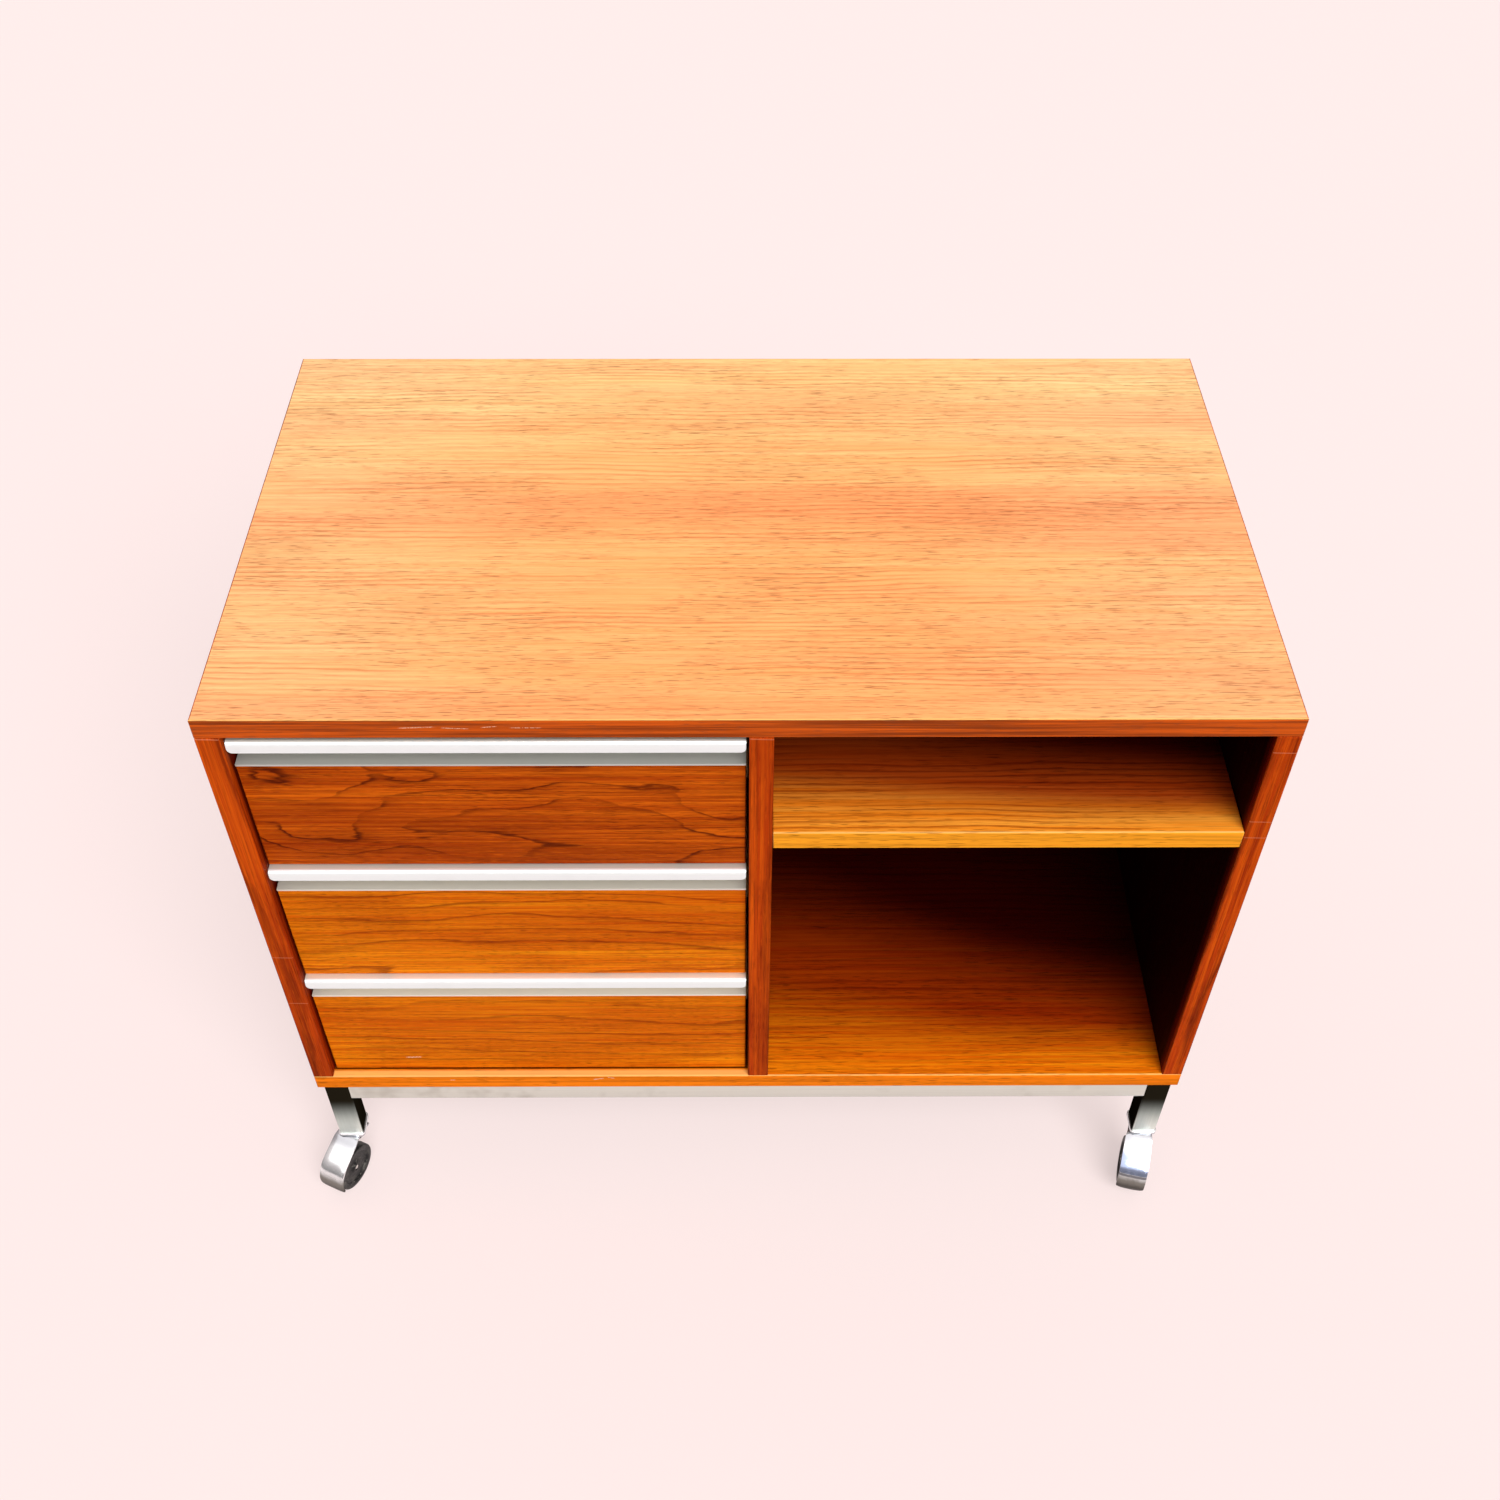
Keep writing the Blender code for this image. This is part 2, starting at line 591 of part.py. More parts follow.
# ---------------------------------------------------------------- the whole cabinet
def main():
    """Build every piece in place."""
    clear_scene()
    finish = make_materials()
    make_carcass(finish)
    make_frame(finish)
    for name, (side, end, turn) in CASTERS.items():
        make_leg_cap(name, finish["bright_chrome"], (side * LEG_X, end * LEG_Y, CASTER_HEIGHT))
        make_caster(name, side, end, turn, finish)
    for number in range(1, DRAWERS + 1):
        make_drawer(number, finish)


main()
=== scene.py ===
# %% [markdown]
# # A rolling storage cabinet in teak, aluminium and chrome
#
# This lesson dresses a cabinet whose structure is already settled: every board, tube,
# drawer, caster and wheel is a plain solid in the right place.  What is left is what the
# eye enjoys, such as veneer with figure and pores, folded aluminium pulls with real bends,
# chromed hoods that mirror the room, and small marks of use.
#
# The lesson has cells, as a notebook does.  A text cell says what a piece is and why it is
# made the way it is, and a short code cell makes it.  All lengths are in metres, the front
# faces -Y, and the origin is on the floor under the middle of the cabinet.

# %% Load the frame
import json
import math

import bmesh
import bpy
import numpy as np
from mathutils import Matrix, Vector

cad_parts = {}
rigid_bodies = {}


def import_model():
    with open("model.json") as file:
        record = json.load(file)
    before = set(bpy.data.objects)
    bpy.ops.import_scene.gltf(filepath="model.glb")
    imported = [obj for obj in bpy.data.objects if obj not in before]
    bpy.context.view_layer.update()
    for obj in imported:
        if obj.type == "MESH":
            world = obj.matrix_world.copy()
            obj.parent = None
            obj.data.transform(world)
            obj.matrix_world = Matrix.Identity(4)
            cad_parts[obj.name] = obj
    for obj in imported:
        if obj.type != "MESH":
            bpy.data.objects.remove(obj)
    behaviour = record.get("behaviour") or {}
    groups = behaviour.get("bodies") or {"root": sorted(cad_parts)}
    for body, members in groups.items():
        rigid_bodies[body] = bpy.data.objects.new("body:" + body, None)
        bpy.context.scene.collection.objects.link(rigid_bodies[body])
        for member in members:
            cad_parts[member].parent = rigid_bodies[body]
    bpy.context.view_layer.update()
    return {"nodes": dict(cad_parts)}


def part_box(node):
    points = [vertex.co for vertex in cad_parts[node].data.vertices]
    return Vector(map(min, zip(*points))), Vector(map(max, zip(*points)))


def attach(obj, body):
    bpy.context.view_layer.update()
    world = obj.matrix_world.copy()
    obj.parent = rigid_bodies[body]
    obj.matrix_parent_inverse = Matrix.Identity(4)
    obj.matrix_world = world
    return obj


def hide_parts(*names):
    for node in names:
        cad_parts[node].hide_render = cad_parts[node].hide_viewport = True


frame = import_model()
nodes = frame["nodes"]
print("solids in the frame:", len(nodes))

# %% [markdown]
# ## Where things are
#
# A new piece must land exactly on the solid it stands for, so its measures are read from
# the solids and not typed in again.  `span` gives the lowest and highest corner of a solid
# as plain arrays.  Two helpers that every later cell uses stand here too: one makes a mesh
# from arrays, the other an object that shows it.

# %% Measures of the carcass


def span(node):
    """The lowest and the highest corner of a solid, as two arrays."""
    low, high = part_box(node)
    return np.array(low), np.array(high)


top_low, top_high = span("top_panel")
WIDTH, DEPTH = top_high[0] - top_low[0], top_high[1] - top_low[1]
FRONT, REAR, TOP = top_low[1], top_high[1], top_high[2]
BACK_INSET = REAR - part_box("back_panel")[1][1]
print("carcass %.0f x %.0f mm, top at %.0f mm" % (WIDTH * 1e3, DEPTH * 1e3, TOP * 1e3))


def new_object(name, data):
    """An object that shows a mesh, a light or a camera, added to the scene."""
    made = bpy.data.objects.new(name, data)
    bpy.context.scene.collection.objects.link(made)
    return made


def new_mesh(name, points, faces, material):
    """A mesh from an array of points and its faces, with one material."""
    mesh = bpy.data.meshes.new(name)
    mesh.from_pydata(np.reshape(points, (-1, 3)).tolist(), [], faces)
    mesh.materials.append(material)
    return mesh


# %% [markdown]
# ## The camera
#
# The cabinet is seen from a standing person's eye height, close to it and straight on, so
# the top board shows its whole surface and the legs shrink towards the floor.  The camera
# is placed from the top board's front edge.  Its turn is built from three small rotations:
# a yaw about Z, the tilt down, and a slight roll about its own line of sight.

# %% Camera
CAMERA_FROM_EDGE = Vector((-0.00598, -0.89602, 0.92426))
CAMERA_TILT = math.radians(46.92)
CAMERA_YAW = math.radians(-0.42)
CAMERA_ROLL = math.radians(0.21)
CAMERA_LENS = 39.42             # millimetres, on a sensor 36 mm wide
CAMERA_SENSOR = 36


def make_camera():
    """A camera above and in front of the top board's front edge."""
    data = bpy.data.cameras.new("camera")
    data.lens = CAMERA_LENS
    data.sensor_width = CAMERA_SENSOR
    camera = new_object("camera", data)
    turn = (Matrix.Rotation(CAMERA_YAW, 4, "Z")
            @ Matrix.Rotation(math.pi / 2 - CAMERA_TILT, 4, "X")
            @ Matrix.Rotation(CAMERA_ROLL, 4, "Z"))
    place = Vector((0, FRONT, TOP)) + CAMERA_FROM_EDGE
    camera.matrix_world = Matrix.Translation(place) @ turn
    bpy.context.scene.camera = camera
    return camera


camera = make_camera()
print("camera at", [round(v, 3) for v in camera.matrix_world.translation])

# %% [markdown]
# ## Sums with sockets
#
# A procedural material is arithmetic on coordinates, and node by node that is slow to
# write and hard to read.  The class `Value` wraps one socket and overloads `+ - * /`, so
# `1 - mask * 0.5` adds its own Math nodes.  The class `Recipe` owns one material and has a
# single method, `node`, for every other kind of node.

# %% Shader arithmetic


class Value:
    """A shader value that Python can do sums with."""

    def __init__(self, recipe, socket):
        self.recipe = recipe
        self.socket = socket

    def _sum(self, operation, first, second):
        return self.recipe.math(operation, first, second)

    def __add__(self, other):
        return self._sum("ADD", self, other)

    def __radd__(self, other):
        return self._sum("ADD", other, self)

    def __sub__(self, other):
        return self._sum("SUBTRACT", self, other)

    def __rsub__(self, other):
        return self._sum("SUBTRACT", other, self)

    def __mul__(self, other):
        return self._sum("MULTIPLY", self, other)

    def __rmul__(self, other):
        return self._sum("MULTIPLY", other, self)

    def __truediv__(self, other):
        return self._sum("DIVIDE", self, other)

    def __rtruediv__(self, other):
        return self._sum("DIVIDE", other, self)

    def __pow__(self, other):
        return self._sum("POWER", self, other)

    def __abs__(self):
        return self.recipe.math("ABSOLUTE", self)


class Recipe:
    """One material, its node tree and its Principled shader."""

    def __init__(self, name):
        self.material = bpy.data.materials.new(name)
        self.material.use_nodes = True
        self.tree = self.material.node_tree
        self.shader = self.tree.nodes["Principled BSDF"]
        self.coords = None

    def node(self, kind, settings=None, inputs=None, output=0):
        """Add a node: its settings first, then its inputs; gives back one output."""
        made = self.tree.nodes.new(kind)
        for key, value in (settings or {}).items():
            setattr(made, key, value)
        for key, value in (inputs or {}).items():
            self.feed(self.find(made, key), value)
        return Value(self, made.outputs[output])

    @staticmethod
    def find(made, key):
        """A node's input by identifier, name or place."""
        if isinstance(key, int):
            return made.inputs[key]
        for socket in made.inputs:
            if socket.identifier == key:
                return socket
        return made.inputs[key]

    def feed(self, socket, value):
        """Link a value to a socket, or set the socket's own constant."""
        if isinstance(value, Value):
            self.tree.links.new(value.socket, socket)
        else:
            socket.default_value = value

    def math(self, operation, *values):
        """A Math node with the given values."""
        return self.node("ShaderNodeMath", {"operation": operation},
                         dict(enumerate(values)))

    def place(self):
        """The point's place in the object, as a vector."""
        if self.coords is None:
            self.coords = self.node("ShaderNodeTexCoord", output="Object")
        return self.coords

    def split(self, vector):
        """The x, y and z of a vector."""
        made = self.tree.nodes.new("ShaderNodeSeparateXYZ")
        self.feed(made.inputs[0], vector)
        return [Value(self, out) for out in made.outputs]

    def join(self, x, y, z):
        """A vector from three values."""
        return self.node("ShaderNodeCombineXYZ", inputs={"X": x, "Y": y, "Z": z})

    def noise(self, vector, scale, detail=2.0, roughness=0.5, distortion=0.0):
        """Smooth noise between 0 and 1."""
        return self.node("ShaderNodeTexNoise", inputs={
            "Vector": vector, "Scale": scale, "Detail": detail,
            "Roughness": roughness, "Distortion": distortion})

    def ramp(self, value, low, high, start=0.0, end=1.0):
        """Map a value from low..high to start..end, smoothly and clamped."""
        return self.node("ShaderNodeMapRange", {"interpolation_type": "SMOOTHSTEP"}, {
            "Value": value, "From Min": low, "From Max": high,
            "To Min": start, "To Max": end})

    def blend(self, factor, first, second, how="MIX"):
        """Mix two colours; the colour is the third of the node's three results."""
        return self.node("ShaderNodeMix", {"data_type": "RGBA", "blend_type": how}, {
            "Factor_Float": factor, "A_Color": first, "B_Color": second}, output=2)

    def bump(self, height, strength, distance):
        """A bumped normal."""
        return self.node("ShaderNodeBump", inputs={
            "Height": height, "Strength": strength, "Distance": distance})

    def finish(self, **inputs):
        """Feed the Principled shader; its sockets are named in lower case words."""
        for key, value in inputs.items():
            wanted = key.replace("_", " ")
            for socket in self.shader.inputs:
                if socket.name.lower() == wanted:
                    self.feed(socket, value)
        return self.material


def paint(red, green, blue):
    """A colour from screen values of 0 to 255, as linear light."""
    channel = np.array([red, green, blue]) / 255
    linear = np.where(channel <= 0.04045, channel / 12.92, ((channel + 0.055) / 1.055) ** 2.4)
    return (*[float(value) for value in linear], 1.0)


def tone(colour, factor):
    """The same colour, darker or lighter."""
    return tuple(part * factor for part in colour[:3]) + (1.0,)


print("honey in linear light:", [round(v, 3) for v in paint(226, 150, 84)])

# %% [markdown]
# ## The studio
#
# The top board should glow, the fronts stay rich, and the open bays fall into shade.  One
# very soft sun from above and in front does the first two.  The sky is pale overhead and
# dark below the horizon, and the floor is left out of the light that bounces between
# surfaces, as if black cloth hung just out of sight: so nothing lifts the shadows inside.
# Metal still mirrors the pale floor, which is what makes the aluminium read as white.  The
# floor is lit from within as well, like a light table, so shadows on it stay faint.  Far
# off, a pale dome closes the view above the floor: only the eye sees it, no other light.

# %% Floor, dome, sky and lights
PALE = paint(255, 238, 236)
FLOOR_GLOW = 0.62               # the share of the floor's light that comes from within
FLOOR_PAINT = 0.82
FLOOR_REACH = 60.0
DOME_RADIUS = 58.0
DOME_STEPS = (16, 48)           # up and round
DOME_FROM, DOME_TO = -0.1, math.pi / 2 - 0.01
HORIZON_TO_ZENITH = (0.0, 0.9)


def backdrop(name, points, faces, colour, glow):
    """A glowing matt surface that belongs to the studio and not to the cabinet."""
    painted = Recipe(name + "_paint").finish(base_color=colour, roughness=1.0,
                                             specular_ior_level=0.0, emission_color=PALE,
                                             emission_strength=glow)
    made = new_object(name, new_mesh(name, points, faces, painted))
    return made


def make_floor(reach):
    """A wide plain floor at the height the wheels stand on."""
    corners = np.array([[-1, -1], [1, -1], [1, 1], [-1, 1]]) * reach
    floor = backdrop("floor", np.column_stack([corners, np.zeros(4)]), [(0, 1, 2, 3)],
                     tone(PALE, (1 - FLOOR_GLOW) * FLOOR_PAINT), FLOOR_GLOW)
    floor.visible_diffuse = False


def make_dome(radius):
    """A pale backdrop all round, which neither lights the cabinet nor shades it.

    point = radius * (cos(turn) * cos(rise), sin(turn) * cos(rise), sin(rise)).
    """
    levels, count = DOME_STEPS
    turn = np.linspace(0, 2 * np.pi, count, endpoint=False)[None, :]
    rise = np.linspace(DOME_FROM, DOME_TO, levels)[:, None]
    points = radius * np.stack([np.cos(turn) * np.cos(rise), np.sin(turn) * np.cos(rise),
                                np.sin(rise) + 0 * turn], -1)
    ring = np.arange((levels - 1) * count).reshape(-1, count)
    beside = np.roll(ring, -1, axis=1)
    faces = np.stack([ring, beside, beside + count, ring + count], -1).reshape(-1, 4)
    dome = backdrop("dome", points, faces.tolist(), (0, 0, 0, 1), 1.0)
    for ray in ("diffuse", "glossy", "transmission", "volume_scatter", "shadow"):
        setattr(dome, "visible_" + ray, False)


def make_sky(high, low):
    """A sky that is pale overhead and falls to a dark tone below the horizon."""
    world = bpy.data.worlds.new("sky")
    world.use_nodes = True
    tree = world.node_tree
    place = tree.nodes.new("ShaderNodeTexCoord")
    split = tree.nodes.new("ShaderNodeSeparateXYZ")
    rise = tree.nodes.new("ShaderNodeMapRange")
    for key, value in zip(("From Min", "From Max", "To Min", "To Max"),
                          (*HORIZON_TO_ZENITH, low, high)):
        rise.inputs[key].default_value = value
    tree.links.new(place.outputs["Generated"], split.inputs[0])
    tree.links.new(split.outputs["Z"], rise.inputs["Value"])
    shade = tree.nodes["Background"]
    shade.inputs["Color"].default_value = PALE
    tree.links.new(rise.outputs["Result"], shade.inputs["Strength"])
    bpy.context.scene.world = world


def aim(light, direction):
    """Turn a light to shine along a direction."""
    light.rotation_mode = "QUATERNION"
    light.rotation_quaternion = Vector(direction).to_track_quat("-Z", "Y")


def make_sun(name, shines_from, softness, strength):
    """A soft sun that shines from a point towards the origin."""
    data = bpy.data.lights.new(name, "SUN")
    data.energy = strength
    data.angle = softness
    aim(new_object(name, data), -Vector(shines_from))


def make_card(name, place, towards, size, power):
    """A broad white card that only mirrors see: it lights nothing by itself."""
    data = bpy.data.lights.new(name, "AREA")
    data.shape = "RECTANGLE"
    data.size, data.size_y = size
    data.energy = power
    card = new_object(name, data)
    card.location = place
    aim(card, Vector(towards) - Vector(place))
    card.visible_diffuse = False


make_floor(FLOOR_REACH)
make_dome(DOME_RADIUS)
make_sky(high=0.72, low=0.03)
make_sun("key", shines_from=(0.38, -0.92, 1.0), softness=math.radians(42), strength=3.45)
make_card("mirror_card", place=(0, -1.6, 2.8), towards=(0, 0, 0.3), size=(6.0, 4.0), power=76.0)
bpy.context.scene.view_settings.view_transform = "Standard"

# %% [markdown]
# ## Building surfaces from arrays
#
# The metal parts are sheets, tubes and turned pieces, so three small builders cover them.
# Each gives a grid of points worked out as whole arrays: rows along one parameter, columns
# along the other.  `grid_faces` joins neighbours into quads, `make_piece` puts one or more
# such grids into a mesh, points its faces outwards and shades it.

# %% Grids, pieces and turned shapes
MERGE = 1e-6
EASED_ANGLE = math.radians(40)  # only edges sharper than this get a bevel


def grid_faces(rows, columns, close_rows=False, close_columns=True):
    """Quads between neighbouring points of a rows x columns grid."""
    down = np.arange(rows if close_rows else rows - 1)[:, None]
    across = np.arange(columns if close_columns else columns - 1)[None, :]
    below, beside = (down + 1) % rows, (across + 1) % columns
    corners = [down * columns + across, below * columns + across,
               below * columns + beside, down * columns + beside]
    return np.stack([c + 0 * (down + across) for c in corners], -1).reshape(-1, 4)


def make_piece(name, grids, body, material, stands_for=(), bevel=0.0, sharp=35):
    """One mesh from (points, faces) pairs, riding on a body in place of some solids."""
    verts, faces, start = [], [], 0
    for points, quads in grids:
        flat = np.asarray(points, float).reshape(-1, 3)
        verts.append(flat)
        faces += [[int(i) + start for i in quad] for quad in quads]
        start += len(flat)
    mesh = new_mesh(name, np.concatenate(verts), faces, material)
    bm = bmesh.new()
    bm.from_mesh(mesh)
    bmesh.ops.remove_doubles(bm, verts=bm.verts, dist=MERGE)
    bmesh.ops.recalc_face_normals(bm, faces=bm.faces)
    bm.to_mesh(mesh)
    bm.free()
    mesh.shade_smooth()
    mesh.set_sharp_from_angle(angle=math.radians(sharp))
    made = new_object(name, mesh)
    if bevel > 0:
        edge = made.modifiers.new("eased_edges", "BEVEL")
        edge.width = bevel
        edge.segments = 2
        edge.limit_method = "ANGLE"
        edge.angle_limit = EASED_ANGLE
        edge.harden_normals = True
    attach(made, body)
    if stands_for:
        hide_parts(*stands_for)
    return made


def turned(profile, steps, centre, axis):
    """A (along, radius) profile turned round an axis through a centre.

    Point = centre + along * axis + radius * (cos(angle) * one side + sin(angle) * other).
    """
    along, radius = np.array(profile, float).T
    angle = np.linspace(0, 2 * np.pi, steps, endpoint=False)
    axis = np.array(axis, float) / np.linalg.norm(axis)
    side = np.cross(axis, [0, 0, 1.0] if abs(axis[2]) < 0.9 else [1.0, 0, 0])
    side /= np.linalg.norm(side)
    other = np.cross(axis, side)
    spoke = np.cos(angle)[:, None] * side + np.sin(angle)[:, None] * other
    points = (np.array(centre, float) + along[:, None, None] * axis
              + radius[:, None, None] * spoke[None])
    return points, grid_faces(len(along), steps)


def arc_points(centre, radius, start, end, steps):
    """Points on a circle between two angles, and the unit vectors to them."""
    angle = np.linspace(start, end, steps)
    spoke = np.column_stack([np.cos(angle), np.sin(angle)])
    return np.array(centre) + radius * spoke, spoke


def folded(path, bends, steps=8):
    """A folded centre line: a path of corners, each rounded to its bend radius.

    Gives the points and, at each, the unit vector across the line.  At a corner the two
    directions a and b are joined by an arc that touches both; across a straight run the
    unit vector stays the same, and along the arc it turns with it.
    """
    path = np.array(path, float)
    run = np.diff(path, axis=0)
    run /= np.linalg.norm(run, axis=1)[:, None]
    across = np.column_stack([-run[:, 1], run[:, 0]])
    points, normals = [path[:1]], [across[:1]]
    for corner, bend in enumerate(bends, start=1):
        a, b = run[corner - 1], run[corner]
        turn = math.atan2(a[0] * b[1] - a[1] * b[0], a @ b)
        cut = bend * math.tan(abs(turn) / 2)
        side = math.copysign(1.0, turn)
        centre = path[corner] - a * cut + across[corner - 1] * bend * side
        cosine, sine = np.cos(np.linspace(0, turn, steps)), np.sin(np.linspace(0, turn, steps))
        out, up = across[corner - 1]
        normal = np.column_stack([out * cosine - up * sine, out * sine + up * cosine])
        points.append(centre - normal * bend * side)
        normals.append(normal)
    points.append(path[-1:])
    normals.append(across[-1:])
    return np.concatenate(points), np.concatenate(normals)


def strip_loop(points, normals, wall):
    """The closed outline of a folded strip: out along one side and back along the other."""
    half = normals * wall / 2
    return np.concatenate([points + half, (points - half)[::-1]])


def sheet_caps(rows, count):
    """End faces of a swept strip: quads between its two sides, at the first and last row."""
    low = np.arange(count // 2 - 1)
    quads = np.stack([low, low + 1, count - 2 - low, count - 1 - low], -1)
    return np.concatenate([quads, quads + (rows - 1) * count])


print("a 3 x 4 grid closed one way has", len(grid_faces(3, 4)), "quads")

# %% [markdown]
# ## Teak
#
# Veneer is a thin slice of a log.  Where the slice cuts the year rings squarely the lines
# run straight; where it skims them they open into long arches and closed loops, like the
# level lines on a map.  So the figure is a map: a slope across the board, which alone would
# give straight lines, plus slow hills that are much longer than they are wide.  The fraction
# of the height is the place within one ring, and its last part is the thin dark late wood.
# A second noise lets each line fade and come back, because no ring is dark all the way, and
# the wood before a line darkens slowly towards it.
#
# Over that lie finer things: streaks and fibres drawn out along the grain, soft wide bands
# of colour, and pores, which are short dark dashes about a millimetre wide.  The edges of
# the boards have an edge strip, with a painted highlight, a thin pale line, where it meets
# the face.  Painted shade makes the bays redder and then darker with depth, and painted
# light makes the top paler towards its sides and rear, the outer faces of the sides
# lighter, and the sill pale in front of the drawers, with painted shadow beneath them.
#
# The wood is therefore a stack of layers.  The class `Teak` keeps the colour so far and has
# one short method for each thing that can lie over it.

# %% Layers of teak
ORDER = {"top": (0, 1, 2), "front": (0, 2, 1), "side": (2, 1, 0)}
EDGE = (0.0010, 0.0003)         # before a face, where its edge strip starts and is full
SKIN = (0.0015, 0.0008)         # the same for the outer faces of the whole carcass
ARRIS = (0.0002, 0.0006, 0.0014, 0.0022)
SCRATCH_DEPTH = (0.012, 0.013)
# Painted light: the pale arris line, and the sill in front of the drawers.
PAINTED_LIGHT = paint(252, 196, 112)
SCRATCHED = paint(240, 196, 164)
SEAM_COLOUR = paint(236, 150, 110)
# Painted shade in the bays: first redder, then nearly black.
NEAR_SHADE = (0.34, 0.13, 0.13, 1)
DEEP_SHADE = (0.09, 0.02, 0.02, 1)
# Painted light: makes the outer faces of the side panels lighter and more amber.
SIDE_LIGHT = (1.15, 1.9, 2.6, 1)


class Teak(Recipe):
    """Teak, built up as layers of colour."""

    def __init__(self, name, kind, seed):
        super().__init__(name)
        axes = self.split(self.place())
        self.x, self.y, self.z = axes
        along, self.across, self.deep = (axes[i] for i in ORDER[kind])
        self.along = along + seed
        self.front = 1 - self.ramp(self.y, FRONT + EDGE[1], FRONT + EDGE[0])
        self.sides = self.reaching(abs(self.x), WIDTH / 2, SKIN)
        self.body = None

    def reaching(self, value, face, skin):
        """0 inside and 1 at a face, between the two distances of `skin` before it."""
        return self.ramp(value, face - skin[0], face - skin[1])

    def drawn(self, rates, detail=2.0, roughness=0.55, finer=1.0):
        """Noise drawn out along the grain; rates are per metre, along and across it."""
        along, across = (rate * finer for rate in rates)
        place = self.join(self.along * along, self.across * across, self.deep * across)
        return self.noise(place, 1.0, detail, roughness)

    def layer(self, mask, colour, how="MIX"):
        """Lay one more colour over the wood so far, where the mask is 1."""
        self.body = self.blend(mask, self.body, colour, how)

    def paint_outer_light(self):
        """Painted light: the board is paler, most of all to its sides and its rear."""
        side = self.ramp(abs(self.x), 0.10, WIDTH / 2)
        far = self.ramp(self.y, 0.0, REAR)
        lit_tint = self.join(0.985, 0.85 + side * 0.13 + far * 0.27,
                          0.76 + side * 0.28 + far * 0.40)
        self.layer(1.0, lit_tint, "MULTIPLY")

    def edge_strip(self, streak, colour, lift):
        """A strip on the front, rear and end edges, with a painted highlight, a pale line, on
        its front arris.
        """
        grained = self.blend(self.ramp(streak, 0.38, 0.62), tone(colour, 1.2),
                             tone(colour, lift))
        rear = self.reaching(self.y, REAR, EDGE)
        edges = self.math("MAXIMUM", self.math("MAXIMUM", self.front, rear), self.sides)
        self.layer(edges, grained)
        # Painted highlight: a thin pale line along the front arris.
        start, full, ends, gone = (FRONT + distance for distance in ARRIS)
        line = self.ramp(self.y, start, full) * (1 - self.ramp(self.y, ends, gone))
        self.layer(line * 0.8, PAINTED_LIGHT)

    def bay_shade(self, rate):
        """Painted shade: redder, then nearly black with depth, and faster towards the right
        side.
        """
        rightward = self.ramp(self.x, 0.0, WIDTH / 2, 0.75, 1.45)
        depth = (self.y - FRONT) * rate * rightward
        behind = self.reaching(self.y, REAR - BACK_INSET, SKIN)
        inside = (1 - self.sides) * (1 - behind)
        self.layer(self.ramp(depth, 0.0, 0.10) * inside, NEAR_SHADE, "MULTIPLY")
        self.layer(self.ramp(depth, 0.06, 0.24) * inside, DEEP_SHADE, "MULTIPLY")

    def below_drawers(self, dark, bay_side, fronts, level):
        """Painted light and shadow on the upper face: paler in front of the drawers, dark
        beneath them.
        """
        upper = self.ramp(self.z, level - 0.0009, level - 0.0003)
        upper = upper * (1 - self.ramp(self.x, bay_side - 0.001, bay_side))
        # Painted light in front of the drawers, then painted shadow beneath them.
        self.layer(upper * (1 - self.ramp(self.y, fronts - 0.003, fronts)) * 0.6, PAINTED_LIGHT)
        hidden = self.ramp(self.y, fronts - 0.0004, fronts + 0.0008)
        self.layer(upper * hidden * 0.9, tone(dark, 0.2))

    def seam(self, height):
        """A fine slanting joint in the edge strip."""
        cut = 1 - self.ramp(abs(self.z - height + self.x * 0.03), 0.0003, 0.0007)
        self.layer(cut * self.front * 0.35, SEAM_COLOUR)

    def scratch(self, x, z, half_long, half_high, rise):
        """A ragged pale mark on the front, with its middle at x and z."""
        off = abs(self.z - z - (self.x - x) * rise) / half_high
        ragged = self.ramp(self.noise(self.place(), 900.0, 2.0), 0.38, 0.55)
        here = 1 - self.ramp(abs(self.x - x), half_long * 0.6, half_long)
        near, far = (FRONT + depth for depth in SCRATCH_DEPTH)
        facing = 1 - self.ramp(self.y, near, far)
        self.layer((1 - self.ramp(off, 0.5, 1.0)) * here * ragged * facing, SCRATCHED)


print("outer faces of the carcass: x = %.3f and %.3f" % (-WIDTH / 2, WIDTH / 2))

# %% [markdown]
# ## One function for every teak piece
#
# The boards differ only in numbers: how far apart the rings lie, how hilly the map is, how
# strong the lines, bands and pores are.  The function below takes those numbers, lays the
# colours in the order in which they lie in the wood, and then adds painted light and shade,
# seams and the marks of use.

# %% Teak recipe
RIPPLE = (9.0, 45.0)            # frequencies along and across the grain, per metre
FADING = (3.0, 30.0)
STREAK = (2.2, 150.0)
CLOUD = (7.0, 18.0)
HAIR = (55.0, 900.0)
FIBRE = (14.0, 750.0)
DASH = (42.0, 760.0)
BAND_LENGTH_RATE = 0.9


